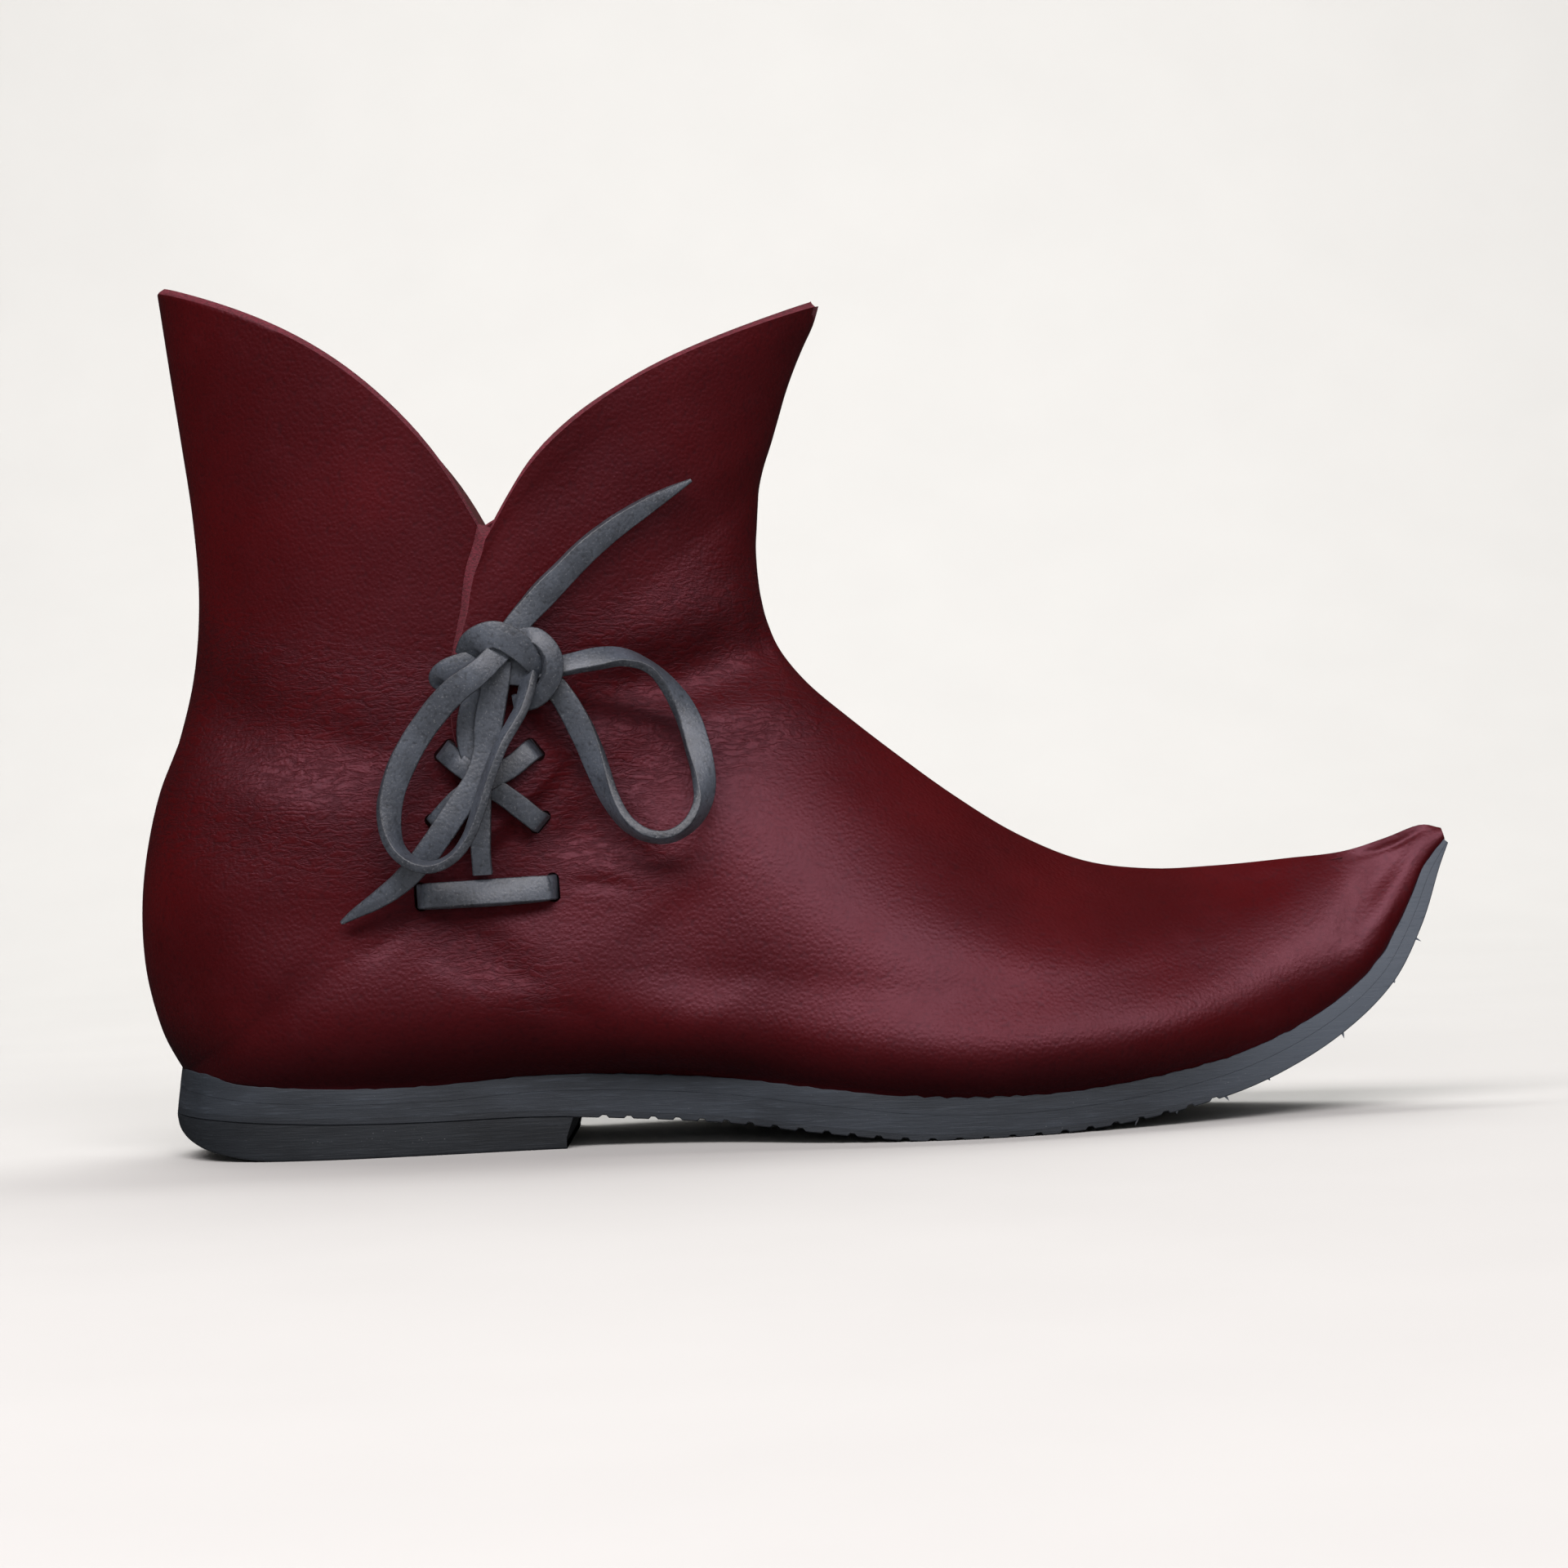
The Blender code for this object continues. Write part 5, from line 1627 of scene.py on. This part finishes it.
def build_insole():
    """Leather sole inside the upper, a little hollowed where the foot stands."""
    rings = []
    shares = [index / INSOLE_CELLS for index in range(INSOLE_CELLS + 1)]
    for position in fine_positions(float(CAVITY_ROW), float(HEEL_ROW))[1:]:
        up = sole_frame(position)
        ends = [sole_edge(position, side, WALL + INSOLE_GAP) + up * SEAT_GAP for side in (-1, 1)]
        wide = min(1.0, (ends[1] - ends[0]).length / INSOLE_HOLLOW_WIDTH)
        low = [ends[0].lerp(ends[1], share) for share in shares]
        high = []
        for share in reversed(shares):
            rim = min(1.0, INSOLE_RIM_RISE * share * (1 - share) + INSOLE_RIM_SHARE)
            hollow = INSOLE_HOLLOW * wide * (1 - (2 * share - 1) ** 2)
            high.append(ends[0].lerp(ends[1], share) + up * (INSOLE_THICKNESS * rim - hollow))
        rings.append(low + high)
    return loft(rings)


class ShoeSizes(bpy.types.PropertyGroup):
    """Sizes of the shoe that may be changed."""

    lace_thickness: FloatProperty(
        name="Lace thickness", description="Thickness of the flat leather lace",
        default=0.002, min=0.001, max=0.003, unit="LENGTH")
    slot_width: FloatProperty(
        name="Slot width", description="Width of the slots that the lace is drawn through",
        default=0.003, min=0.0015, max=0.004, unit="LENGTH")
    flap_slant: FloatProperty(
        name="Flap slant", description="Width of the cut edge that shows along the front flap",
        default=0.0018, min=0.0, max=0.0025, unit="LENGTH")
    grain_size: FloatProperty(
        name="Grain size", description="Size of the pebbles in the leather's grain",
        default=0.00085, min=0.0003, max=0.003, unit="LENGTH")
    crease_depth: FloatProperty(
        name="Crease depth", description="Depth of all creases, 1 as worn in the photograph",
        default=1.35, min=0.0, max=2.0, subtype="FACTOR")


class ShoeColours(bpy.types.PropertyGroup):
    """Colours of the shoe that may be changed, in linear light."""

    leather: FloatVectorProperty(
        name="Leather", description="Grain side of the upper", subtype="COLOR", size=3,
        default=(0.054, 0.0009, 0.0012), min=0, max=1)
    # Dark leather colour for the pores, also used for the painted shade in the wrinkles and along the
    # lower edge
    leather_pores_and_shade: FloatVectorProperty(
        name="Leather, dark", description="Pores, creases and lower edge of the upper", subtype="COLOR",
        size=3, default=(0.013, 0.0004, 0.0005), min=0, max=1)
    leather_light: FloatVectorProperty(
        name="Leather, light", description="Rubbed patches of the upper", subtype="COLOR", size=3,
        default=(0.066, 0.0045, 0.0065), min=0, max=1)
    cut_edge: FloatVectorProperty(
        name="Cut edge", description="Cut edge of the upper's leather", subtype="COLOR", size=3,
        default=(0.130, 0.013, 0.024), min=0, max=1)
    flesh: FloatVectorProperty(
        name="Flesh side", description="Inside of the upper and the insole", subtype="COLOR", size=3,
        default=(0.080, 0.016, 0.016), min=0, max=1)
    sole: FloatVectorProperty(
        name="Sole", description="Side of the sole", subtype="COLOR", size=3,
        default=(0.024, 0.030, 0.039), min=0, max=1)
    heel: FloatVectorProperty(
        name="Heel", description="Heel block", subtype="COLOR", size=3,
        default=(0.012, 0.015, 0.019), min=0, max=1)
    lace: FloatVectorProperty(
        name="Lace", description="Flat leather lace", subtype="COLOR", size=3,
        default=(0.066, 0.078, 0.100), min=0, max=1)
    speck: FloatVectorProperty(
        name="Specks", description="Pale specks on the sole and lace", subtype="COLOR", size=3,
        default=(0.330, 0.340, 0.350), min=0, max=1)
    floor: FloatVectorProperty(
        name="Floor", description="Studio floor and backdrop", subtype="COLOR", size=3,
        default=(0.560, 0.550, 0.530), min=0, max=1)


class ShoeStage(bpy.types.PropertyGroup):
    """Light of the studio."""

    key_power: FloatProperty(
        name="Key light", description="Power of the broad light above the laced side",
        default=19.5, min=0.0, max=500.0, unit="POWER")
    fill_power: FloatProperty(
        name="Fill light", description="Power of the weak light from in front",
        default=2.5, min=0.0, max=500.0, unit="POWER")
    toe_power: FloatProperty(
        name="Toe light", description="Power of the light that only shines back from the toe",
        default=9.0, min=0.0, max=500.0, unit="POWER")
    top_power: FloatProperty(
        name="Top light", description="Power of the light over the floor behind the shoe",
        default=24.0, min=0.0, max=500.0, unit="POWER")
    backdrop_power: FloatProperty(
        name="Backdrop light", description="Power of the light on the backdrop behind the shoe",
        default=22.0, min=0.0, max=500.0, unit="POWER")
    sky_strength: FloatProperty(
        name="Sky strength", description="Strength of the even light from all round",
        default=0.03, min=0.0, max=10.0, subtype="FACTOR")


class SHOE_OT_upper(bpy.types.Operator):
    """Build the leather upper with its creases, flaps and punched slots"""

    bl_idname = "shoe.upper"
    bl_label = "Upper"

    def execute(self, context):
        sizes = context.scene.shoe_sizes
        builder = UpperShell(sizes.flap_slant / MM).build()
        materials = [leather_material(), flesh_material(), cut_edge_material()]
        piece = make_piece("leather_upper", builder, materials, "upper",
                           UPPER_SHARP_ANGLE)
        punch_slots(piece, sizes.slot_width / MM)
        store_leather_places(piece)
        return {"FINISHED"}


class SHOE_OT_insole(bpy.types.Operator):
    """Build the insole"""

    bl_idname = "shoe.insole"
    bl_label = "Insole"

    def execute(self, context):
        make_piece("leather_insole", build_insole(), [insole_material()], "insole")
        return {"FINISHED"}


class SHOE_OT_sole(bpy.types.Operator):
    """Build the layers of the sole and the heel block"""

    bl_idname = "shoe.sole"
    bl_label = "Sole and heel"

    def execute(self, context):
        side = sole_material("sole_rubber_side", "sole", 1.0)
        tread = sole_material("sole_rubber_tread", "sole", 0.7)
        block = sole_material("heel_rubber_block", "heel", 1.0)
        make_piece("sole_upper_layer", build_midsole(), [side], "midsole")
        make_piece("sole_lower_layer", build_outsole(), [side], "outsole")
        make_piece("sole_tread", build_tread(), [tread], None)
        make_piece("heel_block", build_heel(), [block], "heel")
        return {"FINISHED"}


class SHOE_OT_lacing(bpy.types.Operator):
    """Lace the flat strip through the slots"""

    bl_idname = "shoe.lacing"
    bl_label = "Lacing"

    def execute(self, context):
        make_strips("lacing_bar", [laced_rows(BAR_ROWS)], "lace_bar")
        tables = [laced_rows(ARM_A_ROWS), laced_rows(ARM_B_ROWS), RISER_ROWS, BACK_STRIP_ROWS]
        make_strips("lacing_cross", tables, "lace_cross")
        return {"FINISHED"}


class SHOE_OT_bow(bpy.types.Operator):
    """Tie the bow: knot, two loops and two pointed ends"""

    bl_idname = "shoe.bow"
    bl_label = "Bow"

    def execute(self, context):
        knot = make_strips("bow_knot", [KNOT_CORE_ROWS, KNOT_TAB_ROWS, KNOT_BAND_ROWS, KNOT_WRAP_ROWS],
                           "lace_knot")
        make_free_strip("bow_loop_back", LOOP_BACK_ROWS, "lace_loop_back")
        make_free_strip("bow_loop_front", LOOP_FRONT_ROWS, "lace_loop_front")
        make_free_strip("bow_end_upper", END_UPPER_ROWS, "lace_end_upper")
        make_free_strip("bow_end_lower", END_LOWER_ROWS, "lace_end_lower")
        return {"FINISHED"}


class SHOE_OT_stage(bpy.types.Operator):
    """Set up the floor, the light and the camera"""

    bl_idname = "shoe.stage"
    bl_label = "Studio"

    def execute(self, context):
        scene = context.scene
        set_floor(scene.shoe_colours)
        set_light(scene)
        set_camera(scene)
        return {"FINISHED"}


def set_floor(colours):
    """Plain pale floor that sweeps up into a backdrop behind the shoe."""
    profile = [(FLOOR_FRONT_Y, 0.0), (FLOOR_BACK_Y, 0.0)]
    for step in range(1, BACKDROP_STEPS + 1):
        angle = math.pi / 2 * step / BACKDROP_STEPS
        profile.append((FLOOR_BACK_Y + BACKDROP_RADIUS * math.sin(angle),
                        BACKDROP_RADIUS * (1 - math.cos(angle))))
    profile.append((FLOOR_BACK_Y + BACKDROP_RADIUS, BACKDROP_TOP))
    builder = bmesh.new()
    rows = []
    for y, z in profile:
        rows.append([builder.verts.new((x, y, z)) for x in (-FLOOR_HALF_WIDTH, FLOOR_HALF_WIDTH)])
    for first, second in zip(rows, rows[1:]):
        builder.faces.new([first[0], first[1], second[1], second[0]]).smooth = True
    recipe = Recipe("studio_paper", 0.9)
    cloud = recipe.cloud((60, 60, 60), 3.0)
    colour = recipe.shades(cloud, colours.floor, 0.97, 1.02)
    paper = recipe.finish(colour, cloud * 0.1 + 0.85, cloud * 0.02)
    floor = add_object("studio_floor", builder, [paper])
    floor.visible_glossy = False


def add_light(light, power):
    """A soft rectangular light that faces a point, unseen by one kind of ray where its row says so."""
    lamp = bpy.data.lights.new(light["name"], "AREA")
    lamp.shape = "RECTANGLE"
    lamp.size, lamp.size_y = light["size"]
    lamp.energy = power
    lamp.color = light["colour"]
    item = bpy.data.objects.new(light["name"], lamp)
    item.location = light["place"]
    ray = Vector(light["target"]) - Vector(light["place"])
    item.rotation_euler = ray.to_track_quat("-Z", "Y").to_euler()
    if light["unseen"]:
        setattr(item, light["unseen"], False)
    bpy.context.scene.collection.objects.link(item)


def set_light(scene):
    """Lights over the laced side, the floor and the backdrop, a sheen on the toe, and an even sky."""
    for light in LIGHTS:
        add_light(light, getattr(scene.shoe_stage, light["power"]))
    world = bpy.data.worlds.new("studio_sky")
    world.use_nodes = True
    sky = world.node_tree.nodes["Background"]
    sky.inputs["Color"].default_value = SKY_COLOUR
    sky.inputs["Strength"].default_value = scene.shoe_stage.sky_strength
    scene.world = world
    scene.view_settings.view_transform = "Standard"


def set_camera(scene):
    """Camera at the photograph's angle."""
    camera = bpy.data.cameras.new("photo_camera")
    camera.sensor_width = SENSOR_WIDTH
    camera.lens = SENSOR_WIDTH * -CAMERA_PLACE[1] / CAMERA_VIEW_WIDTH
    camera.clip_start = 0.01
    item = bpy.data.objects.new("photo_camera", camera)
    roll = math.radians(CAMERA_ROLL)
    right = Vector((math.cos(roll), 0.0, -math.sin(roll)))
    up = Vector((math.sin(roll), 0.0, math.cos(roll)))
    back = Vector((0.0, -1.0, 0.0))
    turn = Matrix((right, up, back)).transposed().to_4x4()
    item.matrix_world = Matrix.Translation(Vector(CAMERA_PLACE) * MM) @ turn
    scene.collection.objects.link(item)
    scene.camera = item


class SHOE_PT_panel(bpy.types.Panel):
    """Sizes, colours and pieces of the shoe"""

    bl_idname = "SHOE_PT_panel"
    bl_label = "Pointed shoe"
    bl_space_type = "VIEW_3D"
    bl_region_type = "UI"
    bl_category = "Shoe"

    def draw(self, context):
        for group in (context.scene.shoe_sizes, context.scene.shoe_colours, context.scene.shoe_stage):
            box = self.layout.box()
            for name in group.__annotations__:
                box.prop(group, name)
        for operator in OPERATORS:
            self.layout.operator(operator.bl_idname)


GROUPS = {"shoe_sizes": ShoeSizes, "shoe_colours": ShoeColours, "shoe_stage": ShoeStage}
OPERATORS = (SHOE_OT_stage, SHOE_OT_lacing, SHOE_OT_bow, SHOE_OT_upper, SHOE_OT_insole, SHOE_OT_sole)


def register():
    """Register the groups, the operators and the panel."""
    for name, group in GROUPS.items():
        bpy.utils.register_class(group)
        setattr(bpy.types.Scene, name, PointerProperty(type=group))
    for entry in (*OPERATORS, SHOE_PT_panel):
        bpy.utils.register_class(entry)


def unregister():
    """Take everything back out."""
    for entry in (SHOE_PT_panel, *reversed(OPERATORS)):
        bpy.utils.unregister_class(entry)
    for name, group in GROUPS.items():
        delattr(bpy.types.Scene, name)
        bpy.utils.unregister_class(group)


def main():
    """Build the whole shoe on its stage."""
    register()
    bpy.ops.shoe.stage()
    bpy.ops.shoe.lacing()
    bpy.ops.shoe.bow()
    bpy.ops.shoe.upper()
    bpy.ops.shoe.insole()
    bpy.ops.shoe.sole()


if __name__ == "__main__":
    main()
